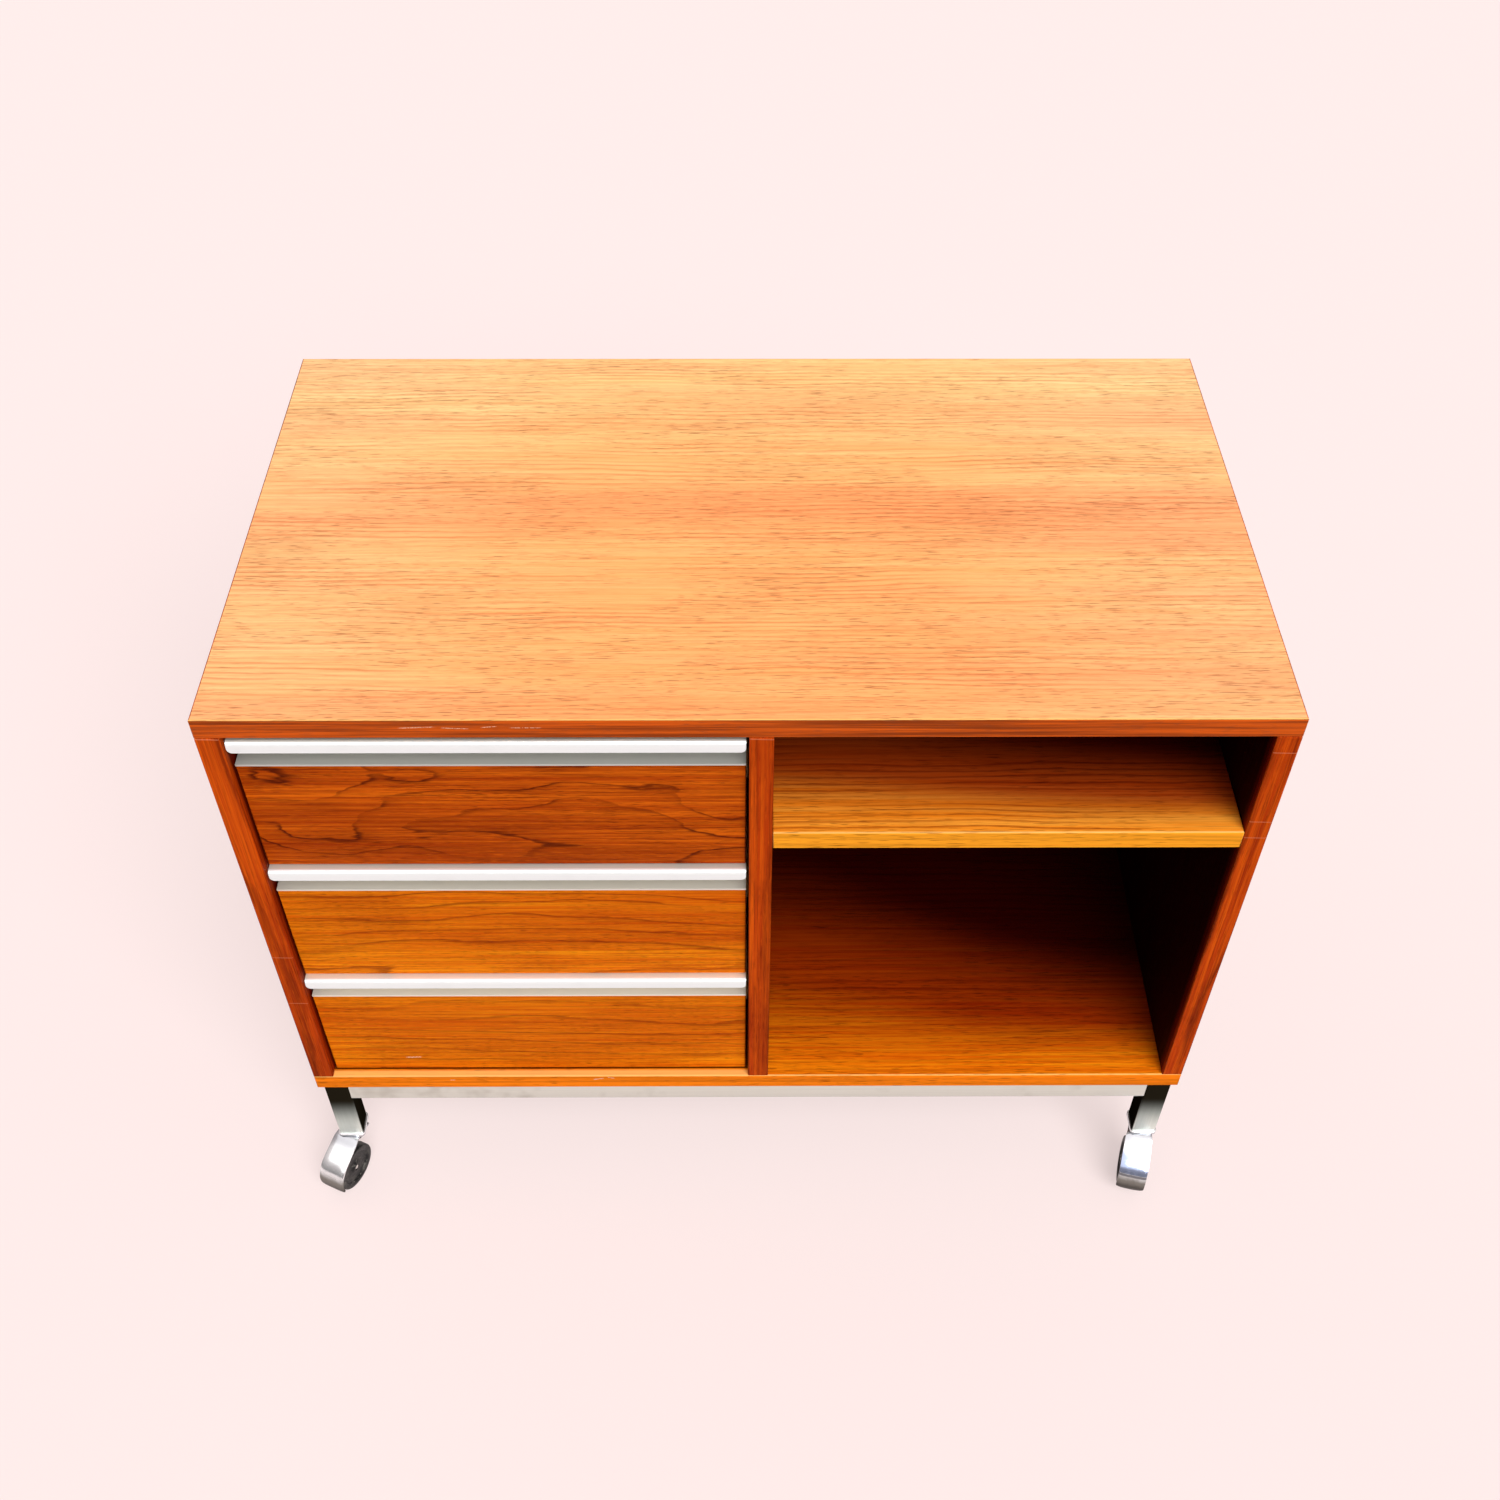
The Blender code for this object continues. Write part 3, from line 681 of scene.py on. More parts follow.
def teak(name, kind, colours, seed=0.0, spacing=0.010, warp=1.5, length=2.2, height=9.0,
         lines=0.6, band=0.4, pores=0.5, fibres=0.35, lip=None, shade=None, marks=(),
         gloss=0.45, shine=0.02, thin=0.45, jagged=0.7, lift=0.85,
         fine=1.0, seams=(), fade=0.38, bands=8.0, outer_light=False,
         under=None):
    """Teak veneer or board.

    height of the map = across / spacing + warp * hills(along * length, across * height),
    and ring = the fraction of it.  `kind` says how the grain lies, `colours` are pale,
    middle, dark and band colours, `lip` is the colour of the edge strip, `shade` is how
    fast painted shade reddens and darkens it with depth from the front, and `marks` are
    scratches, each (x, z, half length, half height, rise).  `thin` is the share of a ring
    that its dark line takes, `jagged` how ragged the line is, `lift` the lowest tone of the
    edge strip, `fine` makes streaks and pores finer, `fade` is how often a dark line fades
    out, `bands` how many colour bands lie in a metre, `seams` are heights where the edge
    strip was joined, and with `outer_light` set, painted light makes the board paler towards
    its sides and its rear.  `under` is for the board below the drawers, which gets painted
    light in front of them and painted shadow beneath them: (x of the bay's right side, y of
    the drawer fronts, height of the upper face).
    """
    wood = Teak(name, kind, seed)
    pale, middle, dark, tint = colours
    hills = wood.drawn((length, height), 2.0, 0.5)
    ripple = wood.drawn(RIPPLE, 3.0, 0.6)
    map_height = ((wood.across + wood.deep * 0.4) / spacing + (hills - 0.5) * (warp * 10)
                  + ripple * jagged)
    ring = wood.math("FRACT", map_height)
    peak = 1 - thin * 0.25
    late = wood.ramp(ring, 1 - thin, peak) - wood.ramp(ring, peak, 1.0)
    late = late * wood.ramp(wood.drawn(FADING), fade, fade + 0.22)

    streak = wood.drawn(STREAK, 4.0, 0.7, fine)
    cloud = wood.drawn(CLOUD, 4.0, 0.65)
    hair = wood.drawn(HAIR, 2.0, 0.6)
    fibre = wood.drawn(FIBRE, 3.0, 0.6)
    wide = wood.drawn((BAND_LENGTH_RATE, bands), 3.0, 0.6)
    dash = wood.drawn(DASH, 1.0, 0.5, fine)
    pore = wood.ramp(dash, 0.56, 0.68) * wood.ramp(cloud, 0.28, 0.56)

    wood.body = wood.blend(wood.ramp(streak, 0.32, 0.68), pale, middle)
    wood.layer(wood.ramp(wide, 0.42, 0.66) * band, tint)
    wood.layer(wood.ramp(cloud, 0.45, 0.75) * fibres, tone(middle, 0.62))
    wood.layer(ring ** 3.0 * lines * 0.3, dark)
    wood.layer(late * lines, dark)
    wood.layer(wood.ramp(fibre, 0.42, 0.75) * fibres, dark)
    wood.layer(wood.ramp(hair, 0.55, 0.75) * fibres * 0.7, tone(pale, 1.15))

    if outer_light:
        wood.paint_outer_light()
    if lip is not None:
        wood.edge_strip(streak, lip, lift)
    wood.layer(pore * pores, tone(dark, 0.40))
    if shade is not None:
        wood.bay_shade(shade)
    if kind == "side":
        # Painted light on the outer faces of the side panels.
        wood.layer(wood.sides * (1 - wood.front), SIDE_LIGHT, "MULTIPLY")
    if under is not None:
        wood.below_drawers(dark, *under)
    for seam_height in seams:
        wood.seam(seam_height)
    for mark in marks:
        wood.scratch(*mark)

    relief = fibre * 0.5 - pore - late * 0.3
    return wood.finish(base_color=wood.body,
                       roughness=gloss + (fibre - 0.5) * 0.15 + pore * 0.2,
                       specular_ior_level=shine,
                       normal=wood.bump(relief, 0.25, 0.0003))


HONEY = (paint(252, 200, 133), paint(249, 184, 115), paint(204, 104, 56), paint(249, 163, 108))
RED = (paint(226, 92, 12), paint(184, 56, 6), paint(84, 16, 2), paint(176, 50, 6))
AMBER = (paint(255, 150, 14), paint(230, 102, 3), paint(122, 34, 1), paint(206, 76, 2))
GOLD = (paint(255, 172, 58), paint(246, 142, 28), paint(150, 58, 6), paint(244, 128, 18))
UMBER = (paint(238, 112, 14), paint(190, 70, 4), paint(76, 14, 1), paint(146, 44, 2))
LIP_RED = paint(206, 84, 10)
LIP_AMBER = paint(250, 160, 36)
LIP_BOTTOM = paint(246, 126, 14)
print("middle tone of the honey wood:", [round(part, 3) for part in HONEY[1][:3]])

# %% [markdown]
# ## Boards
#
# Sawn boards have their edges eased with a few strokes of fine paper.  Each board takes the
# mesh of its solid, so its rebates and grooves stay where they belong, and a bevel less than
# a millimetre wide rounds every edge.  The marks of use are placed from the top of the
# cabinet or from the sill, which is the upper face of the bottom board.

# %% Boards


def board(node, body, material, ease=0.0006):
    """A solid's own mesh with eased edges, in place of the solid."""
    source = nodes[node].data
    points = np.empty(len(source.vertices) * 3)
    source.vertices.foreach_get("co", points)
    faces = [list(face.vertices) for face in source.polygons]
    return make_piece(node + "_board", [(points, faces)], body, material, [node],
                      bevel=ease)


SILL = span("bottom_panel")[1][2]
DRAWER_BAY = (span("divider_panel")[0][0], span("drawer_3_front")[0][1], SILL)
TOP_MARKS = ((-0.262, TOP - 0.0075, 0.016, 0.0006, 0.04),
             (-0.232, TOP - 0.0085, 0.012, 0.0005, -0.05),
             (-0.205, TOP - 0.0070, 0.007, 0.0005, 0.10),
             (-0.176, TOP - 0.0080, 0.014, 0.0004, 0.0))
SILL_MARKS = ((-0.152, SILL - 0.0045, 0.006, 0.0011, 0.2),
              (-0.139, SILL - 0.0025, 0.004, 0.0009, -0.3),
              (-0.300, SILL - 0.0060, 0.003, 0.0007, 0.0))
DRAWER_MARKS = ((-0.3365, TOP - 0.4953, 0.009, 0.0013, 0.05),)
SEAMS = {"left_side_panel": (TOP - 0.0342, TOP - 0.3263, TOP - 0.3999),
         "right_side_panel": (TOP - 0.0258, TOP - 0.1108, TOP - 0.1314),
         "divider_panel": (TOP - 0.0215,)}
board("top_panel", "cabinet",
      teak("teak_top", "top", HONEY, spacing=0.006, warp=0.5, lines=0.45, band=0.6,
           pores=0.55, fibres=0.30, lip=LIP_RED, shine=0.10, lift=0.42, fine=1.6,
           jagged=1.6, thin=0.6, bands=12.0, fade=0.42, outer_light=True, marks=TOP_MARKS))
board("bottom_panel", "cabinet",
      teak("teak_bottom", "top", AMBER, seed=3.1, warp=0.35, lines=0.35, lip=LIP_BOTTOM,
           shade=1.0, fine=1.3, jagged=1.0, under=DRAWER_BAY, marks=SILL_MARKS))
for seed, panel in enumerate(("left_side_panel", "right_side_panel", "divider_panel")):
    board(panel, "cabinet",
          teak("teak_" + panel, "side", RED, seed=0.7 * seed, warp=0.3, lines=0.6,
               shade=10.0, fine=1.2, fibres=0.5, pores=0.25, seams=SEAMS[panel]))
board("shelf", "cabinet",
      teak("teak_shelf", "top", GOLD, seed=1.7, spacing=0.007, warp=0.5, lines=0.65,
           lip=LIP_AMBER, shade=1.6, fine=1.2, jagged=1.0))
DRAWER_TEAK = (
    teak("teak_drawer_1", "front", UMBER, seed=0.1, spacing=0.040, warp=0.65, length=4.6,
         height=10.0, lines=0.85, thin=0.15, jagged=1.0, fine=2.0, fibres=0.5, band=0.7,
         fade=0.36),
    teak("teak_drawer_2", "front", AMBER, seed=2.3, spacing=0.021, warp=0.6, lines=0.6,
         thin=0.24, jagged=1.1, fine=2.2, fibres=0.45, band=0.65),
    teak("teak_drawer_3", "front", AMBER, seed=3.9, spacing=0.022, warp=0.35, lines=0.5,
         thin=0.24, jagged=1.0, fine=2.2, fibres=0.45, band=0.65,
         marks=DRAWER_MARKS),
)
for number, veneer in enumerate(DRAWER_TEAK, start=1):
    board("drawer_%d_front" % number, "drawer_%d" % number, veneer)

# %% [markdown]
# ## The hidden woods
#
# Open a drawer and another workshop shows: birch boards under clear lacquer, pale and almost
# without figure, and waxed beech runners with short flecks.  The back is thin stained
# plywood.  All three share one recipe with a fine streak, a slow cloud and a fleck.

# %% Birch, beech and plywood
FLECK_FINER = 4
# Painted shade for the inner face of the back panel.
BACK_PAINTED_SHADE = paint(14, 2, 1)


def plain_wood(name, colours, grain, fleck=0.3, gloss=0.5, shine=0.3, shade=None):
    """Quiet wood: streaks drawn out by `grain` = (x, y, z) frequencies, clouds and flecks.

    In front of depth `shade`, on the inner face of the back, it is nearly black with painted
    shade.
    """
    recipe = Recipe(name)
    x, y, z = recipe.split(recipe.place())
    drawn = [axis * rate for axis, rate in zip((x, y, z), grain)]
    streak = recipe.noise(recipe.join(*drawn), 1.0, 4.0, 0.65)
    cloud = recipe.noise(recipe.place(), 6.0, 3.0, 0.5)
    spot = recipe.noise(recipe.join(*[part * FLECK_FINER for part in drawn]), 1.0, 1.0)
    pale, dark, mark = colours
    body = recipe.blend(recipe.ramp(streak, 0.30, 0.70), pale, dark)
    body = recipe.blend(recipe.ramp(cloud, 0.45, 0.75) * 0.35, body, mark)
    body = recipe.blend(recipe.ramp(spot, 0.60, 0.70) * fleck, body, tone(mark, 0.6))
    if shade is not None:
        # Painted shade on the inner face of the back.
        inner = 1 - recipe.ramp(y, shade, shade + 0.001)
        body = recipe.blend(inner * 0.93, body, BACK_PAINTED_SHADE)
    return recipe.finish(base_color=body, roughness=gloss + (streak - 0.5) * 0.1,
                         specular_ior_level=shine,
                         normal=recipe.bump(streak - spot * 0.5, 0.15, 0.0003))


BIRCH_COLOURS = (paint(232, 200, 150), paint(214, 178, 126), paint(200, 158, 104))
BEECH_COLOURS = (paint(214, 164, 116), paint(196, 142, 96), paint(176, 118, 76))
STAIN_COLOURS = (paint(176, 92, 40), paint(150, 72, 28), paint(116, 52, 20))
BIRCH_LONG = plain_wood("birch_long", BIRCH_COLOURS, (160, 3, 160))
BIRCH_WIDE = plain_wood("birch_wide", BIRCH_COLOURS, (3, 160, 160))
BEECH = plain_wood("waxed_beech", BEECH_COLOURS, (170, 6, 170), fleck=0.5)
PLYWOOD = plain_wood("stained_plywood", STAIN_COLOURS, (110, 110, 2.5), fleck=0.5,
                     shine=0.05, shade=span("back_panel")[0][1] + 0.002)

board("back_panel", "cabinet", PLYWOOD, 0.0004)
for number in (1, 2, 3):
    for part, wood in (("left_side", BIRCH_LONG), ("right_side", BIRCH_LONG),
                       ("back", BIRCH_WIDE), ("floor", BIRCH_LONG)):
        board("drawer_%d_%s" % (number, part), "drawer_%d" % number, wood)
    for part in ("left", "right"):
        board("runner_%d_%s" % (number, part), "cabinet", BEECH)
print("hidden woods:", [wood.name for wood in (BIRCH_LONG, BIRCH_WIDE, BEECH, PLYWOOD)])

# %% [markdown]
# ## Metals and plastics
#
# Anodised aluminium is never a flat grey: the strip was brushed along its length before it
# was anodised, so it has long faint lines that stretch every highlight.  The plated legs
# are brushed too, but upright.  Chrome is a mirror with a trace of haze, and what makes it
# real are faint fingerprints.  The wheels are hard black nylon with grey dust on the tread.

# %% Metal recipes
STAIN = paint(150, 140, 125)
# Painted dark reflection for the legs' upper parts and inner sides.
PAINTED_DARK_REFLECTION = paint(34, 29, 20)
# Painted shade in the pulls' hollows, greyer towards the higher drawers.
HOLLOW_HEIGHTS = (0.36, 0.66)   # the pulls' hollows are greyer towards the higher drawers
HOLLOW_SHADE_LOW, HOLLOW_SHADE_HIGH = paint(236, 228, 212), paint(190, 190, 182)


def brushed(name, stretch, colour, low_rough, high_rough, shade=0.12, mark=0.1, metal=1.0,
            dim=None, hollow=None):
    """Metal brushed along one axis: noise drawn out by `stretch` = (x, y, z) frequencies.

    `dim` = (low, high, inner) is a painted dark reflection: it darkens, and takes the metal
    away, between two heights and on the sides of the legs that face inwards, which are
    nearer to the middle than `inner`.  Behind the depth `hollow` painted shade makes the
    metal greyer, and more so the higher it is.
    """
    recipe = Recipe(name)
    x, y, z = recipe.split(recipe.place())
    drawn = recipe.join(*[axis * rate for axis, rate in zip((x, y, z), stretch)])
    lines = recipe.noise(drawn, 1.0, 3.0, 0.7)
    blotch = recipe.noise(recipe.place(), 18.0, 3.0, 0.6)
    worn = recipe.noise(recipe.place(), 160.0, 2.0, 0.5)
    shaded = recipe.blend(recipe.ramp(lines, 0.25, 0.75) * shade, colour, tone(colour, 0.55))
    stained = recipe.blend(recipe.ramp(blotch, 0.55, 0.75) * mark, shaded, STAIN)
    # Painted dark reflection, with less metal where it lies.
    if dim is not None:
        low, high, inner = dim
        upper = recipe.ramp(z, low, high)
        inwards = 1 - recipe.ramp(abs(x), inner, inner + 0.0008)
        dull = recipe.math("MAXIMUM", upper, inwards)
        stained = recipe.blend(dull, stained, PAINTED_DARK_REFLECTION)
        metal = (1 - dull) * metal
    # Painted shade in the pulls' hollows.
    if hollow is not None:
        inner = recipe.ramp(y, hollow, hollow + 0.001)
        grey = recipe.blend(recipe.ramp(z, *HOLLOW_HEIGHTS), HOLLOW_SHADE_LOW, HOLLOW_SHADE_HIGH)
        stained = recipe.blend(inner * 0.9, stained, grey)
    rough = recipe.ramp(lines, 0.2, 0.8, low_rough, high_rough)
    return recipe.finish(base_color=stained, metallic=metal,
                         roughness=rough + recipe.ramp(worn, 0.6, 0.8) * 0.08,
                         specular_ior_level=0.0,
                         normal=recipe.bump(lines, 0.12, 0.0002))


# Heights above the floor where the painted reflections and the painted shade on the casters
# start and end.
REFLECTED_DARK_LINE = (0.0375, 0.0385, 0.0402, 0.0410)
SHEEN = (0.0405, 0.0415, 0.054, 0.057)
NECK_SHADE = (0.056, 0.062, 0.0672, 0.0676)
FLOOR_REFLECTION = (0.032, 0.044)
SHADOWED_FLOOR_REFLECTION = (0.020, 0.033)


def chrome(name):
    """Bright plate with smears and specks; painted reflections of a blue sheen, a dark line and
    the floor; painted shade under the cap.
    """
    recipe = Recipe(name)
    x, _y, z = recipe.split(recipe.place())
    smear = recipe.noise(recipe.place(), 60.0, 4.0, 0.6, 1.5)
    speck = recipe.noise(recipe.place(), 700.0, 1.0)
    level = z + (smear - 0.5) * 0.006

    def between(heights, upper):
        """1 between two heights, softly, with its upper end measured on `upper`."""
        start, full, ends, gone = heights
        return recipe.ramp(z, start, full) * (1 - recipe.ramp(upper, ends, gone))

    dull = recipe.ramp(smear, 0.45, 0.75) * 0.10 + recipe.ramp(speck, 0.70, 0.78) * 0.25
    right = recipe.ramp(x, -0.1, 0.1)
    low_reflection = 1 - recipe.ramp(level, *FLOOR_REFLECTION)
    tint = recipe.blend(recipe.ramp(speck, 0.72, 0.80) * 0.5, paint(246, 250, 252),
                        paint(150, 146, 140))
    # Painted reflections on the right-hand casters only: a blue sheen, and a dark line below
    # it.
    tint = recipe.blend(between(SHEEN, level) * right * 0.85, tint, paint(158, 174, 212))
    tint = recipe.blend(between(REFLECTED_DARK_LINE, z) * right * 0.8, tint, paint(70, 78, 98))
    # Painted shade under the cap.
    tint = recipe.blend(between(NECK_SHADE, z) * 0.8, tint, paint(172, 174, 180))
    # Painted reflections of the floor low down, darkest nearest it, with less metal and more
    # roughness there.
    tint = recipe.blend(low_reflection * 0.92, tint, paint(108, 102, 92))
    tint = recipe.blend(1 - recipe.ramp(level, *SHADOWED_FLOOR_REFLECTION), tint, paint(40, 35, 27))
    return recipe.finish(base_color=tint, metallic=0.85 - low_reflection * 0.25,
                         specular_ior_level=0.2, roughness=dull + 0.16 + low_reflection * 0.2)


def nylon(name):
    """Hard black plastic: a fine moulded grain, with pale dust and scuffs."""
    recipe = Recipe(name)
    grain = recipe.noise(recipe.place(), 1800.0, 2.0)
    dust = recipe.noise(recipe.place(), 120.0, 4.0, 0.7)
    scuff = recipe.noise(recipe.place(), 420.0, 2.0, 0.6, 2.0)
    cover = recipe.ramp(dust, 0.50, 0.70) * 0.30 + recipe.ramp(scuff, 0.60, 0.68) * 0.7
    colour = recipe.blend(cover, paint(16, 16, 17), paint(150, 146, 138))
    return recipe.finish(base_color=colour, roughness=0.42 + cover * 0.35,
                         specular_ior_level=0.25,
                         normal=recipe.bump(grain, 0.2, 0.0002))


LEG_INSIDE = span("leg_front_right")[0][0]
# Heights of the legs' painted dark reflection.
LEG_DIM = (0.072, 0.136, LEG_INSIDE)
# Depth behind which the pulls' hollows get painted shade.
PULL_HOLLOW = span("drawer_1_pull")[0][1] + 0.0035
ALUMINIUM = brushed("satin_aluminium", (6, 900, 900), paint(244, 250, 250), 0.34, 0.48, 0.08,
                    0.05, metal=0.55, hollow=PULL_HOLLOW)
DULL_ALUMINIUM = brushed("dull_aluminium", (6, 900, 900), paint(222, 220, 210), 0.36, 0.50,
                         0.15, 0.35, metal=0.6)
STEEL = brushed("brushed_steel_upright", (700, 700, 12), paint(232, 240, 232), 0.28, 0.40, 0.2,
                metal=0.8, dim=LEG_DIM)
STEEL_LONG = brushed("brushed_steel_long", (700, 10, 700), paint(215, 216, 208), 0.28, 0.40)
TURNED = brushed("turned_steel", (200, 200, 200), paint(205, 203, 198), 0.18, 0.30)
CHROME = chrome("bright_chrome")
NYLON = nylon("black_nylon")
print("metals:", [metal.name for metal in (ALUMINIUM, DULL_ALUMINIUM, STEEL, STEEL_LONG,
                                           TURNED, CHROME)], "plastic:", NYLON.name)

# %% [markdown]
# ## Pulls
#
# Each pull is one aluminium strip, folded like a hook: a foot lies on the front's top
# edge, a back wall rises behind it, a flat top comes forward and a short lip turns down,
# so that fingers reach up behind it.  The strip is drawn as its folded centre line, which
# is thickened to both sides and carried along the width.  Towards both ends the lip's
# lower edge climbs on a quarter circle, which is how such an end is filed to be safe.

# %% Pulls
PULL_WALL = 0.002
PULL_LIP = 0.0115
PULL_NOSE_BACK = 0.0063         # from the lip's face back to the foot's nose
PULL_CORNER = 0.0045
PULL_BEND = 0.0022
PULL_END_ROWS = 12


def lip_edge(distance, corner):
    """How far a rounded corner lifts an edge: corner - sqrt(corner^2 - (corner - d)^2)."""
    inside = np.clip(corner - distance, 0, corner)
    return corner - np.sqrt(np.maximum(corner ** 2 - inside ** 2, 0))


def make_pull(number):
    """One folded strip over the whole width of a drawer front."""
    node = "drawer_%d_pull" % number
    low, high = span(node)
    half = PULL_WALL / 2
    lip_y, nose_y, rear_y = low[1] + half, low[1] + PULL_NOSE_BACK, high[1] - half
    foot_z, top_z = low[2] + half, high[2] - half
    path = [(nose_y, foot_z), (rear_y, foot_z), (rear_y, top_z), (lip_y, top_z),
            (lip_y, high[2] - PULL_LIP)]
    loop = strip_loop(*folded(path, [PULL_BEND] * 3), PULL_WALL)
    quarter = np.linspace(0, np.pi / 2, PULL_END_ROWS)
    near = PULL_CORNER * (1 - np.cos(quarter))
    x = np.concatenate([low[0] + near, (high[0] - near)[::-1]])
    rows, count = len(x), len(loop)
    points = np.empty((rows, count, 3))
    points[..., 0] = x[:, None]
    points[..., 1:] = loop[None]
    lift = lip_edge(np.minimum(x - low[0], high[0] - x), PULL_CORNER)
    lip_ends = slice(count // 2 - 1, count // 2 + 1)
    points[:, lip_ends, 2] += lift[:, None]
    faces = np.concatenate([grid_faces(rows, count), sheet_caps(rows, count)])
    return make_piece("pull_%d" % number, [(points, faces)], "drawer_%d" % number,
                      ALUMINIUM, [node])


pulls = [make_pull(number) for number in (1, 2, 3)]
print("pull quads:", [len(pull.data.polygons) for pull in pulls])

# %% [markdown]
# ## Frame tubes
#
# Square tube is rolled, so its corners are round.  Its section is a square with quarter
# circles at the corners, inside and outside, and the tube is that section carried from
# end to end.  Four rings close one tube: outside near, outside far, inside far and inside
# near.

# %% Frame tubes
TUBE_WALL = 0.0015
TUBE_CORNER = 0.0026


def rounded_square(half_a, half_b, corner, steps=6):
    """A rectangle with quarter-circle corners, as points in its plane."""
    angle = np.linspace(0, np.pi / 2, steps)
    parts = []
    for quarter, (sa, sb) in enumerate(((1, 1), (-1, 1), (-1, -1), (1, -1))):
        turn = angle + quarter * np.pi / 2
        parts.append(np.column_stack([sa * (half_a - corner) + corner * np.cos(turn),
                                      sb * (half_b - corner) + corner * np.sin(turn)]))
    return np.concatenate(parts)


def tube_grid(low, high, along):
    """A hollow square tube between two corners, along one axis."""
    middle, half = (low + high) / 2, (high - low) / 2
    one, two = [axis for axis in range(3) if axis != along]
    outer = rounded_square(half[one], half[two], TUBE_CORNER)
    inner = rounded_square(half[one] - TUBE_WALL, half[two] - TUBE_WALL,
                           TUBE_CORNER - TUBE_WALL)
    points = np.empty((4, len(outer), 3))
    for row, (section, end) in enumerate(((outer, -1), (outer, 1), (inner, 1), (inner, -1))):
        points[row, :, one] = middle[one] + section[:, 0]
        points[row, :, two] = middle[two] + section[:, 1]
        points[row, :, along] = middle[along] + end * half[along]
    return points, grid_faces(4, len(outer), close_rows=True)


def make_tube(node, along, material, reach=0.0):
    """A rounded tube in place of a plain one, made longer by `reach` at both ends."""
    low, high = span(node)
    low[along] -= reach
    high[along] += reach
    return make_piece(node + "_tube", [tube_grid(low, high, along)], "cabinet", material,
                      [node])


CORNERS = ("front_left", "front_right", "rear_right", "rear_left")
JOINT_GAP = 0.0003
for corner in CORNERS:
    make_tube("leg_" + corner, 2, STEEL)
for rail in ("front_rail", "rear_rail"):
    make_tube(rail, 0, DULL_ALUMINIUM, JOINT_GAP)
for rail in ("left_rail", "right_rail"):
    make_tube(rail, 1, STEEL_LONG, JOINT_GAP)

# %% [markdown]
# ## Leg caps
#
# A chromed plate closes each leg and carries the caster.  It stands a little proud of the
# tube, so from above it shows as one bright line round the leg's foot.  Above it a block
# reaches up into the tube, and a bore through both takes the caster's stem.  The section
# goes once round: up the outside, in over the block, and down the bore.

# %% Leg caps
CAP_CORNER = 0.004
CAP_THICKNESS = 0.005
CAP_SOFT = 0.0009
STEM_BORE = 0.0043
BLOCK_HALF = 0.0107
BLOCK_CORNER = 0.0015
BLOCK_TAPER = 0.97


def round_bore(radius, steps=6):
    """A circle whose points face those of `rounded_square`."""
    turn = (np.linspace(0, np.pi / 2, steps)[None] + np.arange(4)[:, None] * np.pi / 2).ravel()
    return radius * np.column_stack([np.cos(turn), np.sin(turn)])


def make_cap(corner):
    """A bored plate with rounded corners and softened edges, under one leg."""
    node = "leg_cap_" + corner
    low, high = span(node)
    middle, half = (low + high) / 2, (high - low) / 2
    angle = np.linspace(0, np.pi / 2, 5)
    inset = CAP_SOFT * np.concatenate([1 - np.sin(angle), 1 - np.cos(angle)])
    rise = CAP_SOFT * np.concatenate([1 - np.cos(angle), np.sin(angle) - 1])
    rise[len(angle):] += CAP_THICKNESS
    rings = [rounded_square(half[0] - i, half[1] - i, CAP_CORNER - i) for i in inset]
    block = rounded_square(BLOCK_HALF, BLOCK_HALF, BLOCK_CORNER)
    bore = round_bore(STEM_BORE)
    tall = high[2] - low[2]
    sections = np.stack([bore, *rings, block, block * BLOCK_TAPER, bore])
    levels = np.concatenate([[0], rise, [CAP_THICKNESS, tall, tall]])
    points = np.empty((*sections.shape[:2], 3))
    points[..., :2] = middle[:2] + sections
    points[..., 2] = low[2] + levels[:, None]
    faces = grid_faces(*sections.shape[:2], close_rows=True)
    return make_piece(node + "_plate", [(points, faces)], "cabinet", CHROME,
                      [node], sharp=50)


caps = [make_cap(corner) for corner in CORNERS]
print("caps:", len(caps))

# %% [markdown]
# ## Where each caster stands
#
# Every caster is turned its own way, as casters are after a push.  Its place comes from the
# solids: the swivel stands over the leg cap's middle, the axle's middle lies between the two
# wheels, and the line from one wheel to the other is the axle's direction.  `place_in` takes
# points measured as (across, outwards, up) from the swivel's foot into the room.

# %% Caster places


def caster_place(corner):
    """The swivel's foot, the axle's middle and the axle's direction."""
    foot = np.mean(span("leg_cap_" + corner), axis=0) * [1, 1, 0]
    left, right = (np.mean(span("caster_%s_wheel_%s" % (corner, side)), axis=0)
                   for side in ("left", "right"))
    axis = (right - left) / np.linalg.norm(right - left)
    return foot, (left + right) / 2, axis


def place_in(points, foot, axis):
    """point = foot + across * axis + outwards * (axis turned a quarter) + up * Z."""
    outwards = np.cross(axis, [0, 0, 1.0])
    across, out, up = np.moveaxis(np.asarray(points, float), -1, 0)
    return (foot + across[..., None] * axis + out[..., None] * outwards
            + up[..., None] * np.array([0, 0, 1.0]))


for corner in CORNERS:
    foot, hub, axis = caster_place(corner)
    print(corner, "trail %.1f mm" % (np.linalg.norm((hub - foot)[:2]) * 1e3))

# %% [markdown]
# ## Hoods
#
# A hood is one chromed band that leaves the swivel level, dips, and follows the wheels down
# past the axle.  Its middle line is a straight, a bend, a tangent and an arc, in that order,
# and its normals give the two sides of the sheet.  Across, the band is narrower at the swivel
# and its edges curl in slightly, which draws a bright line along them, and its lower end is
# rounded.  A web inside carries the axle, and a boss and stem carry the load into the leg.

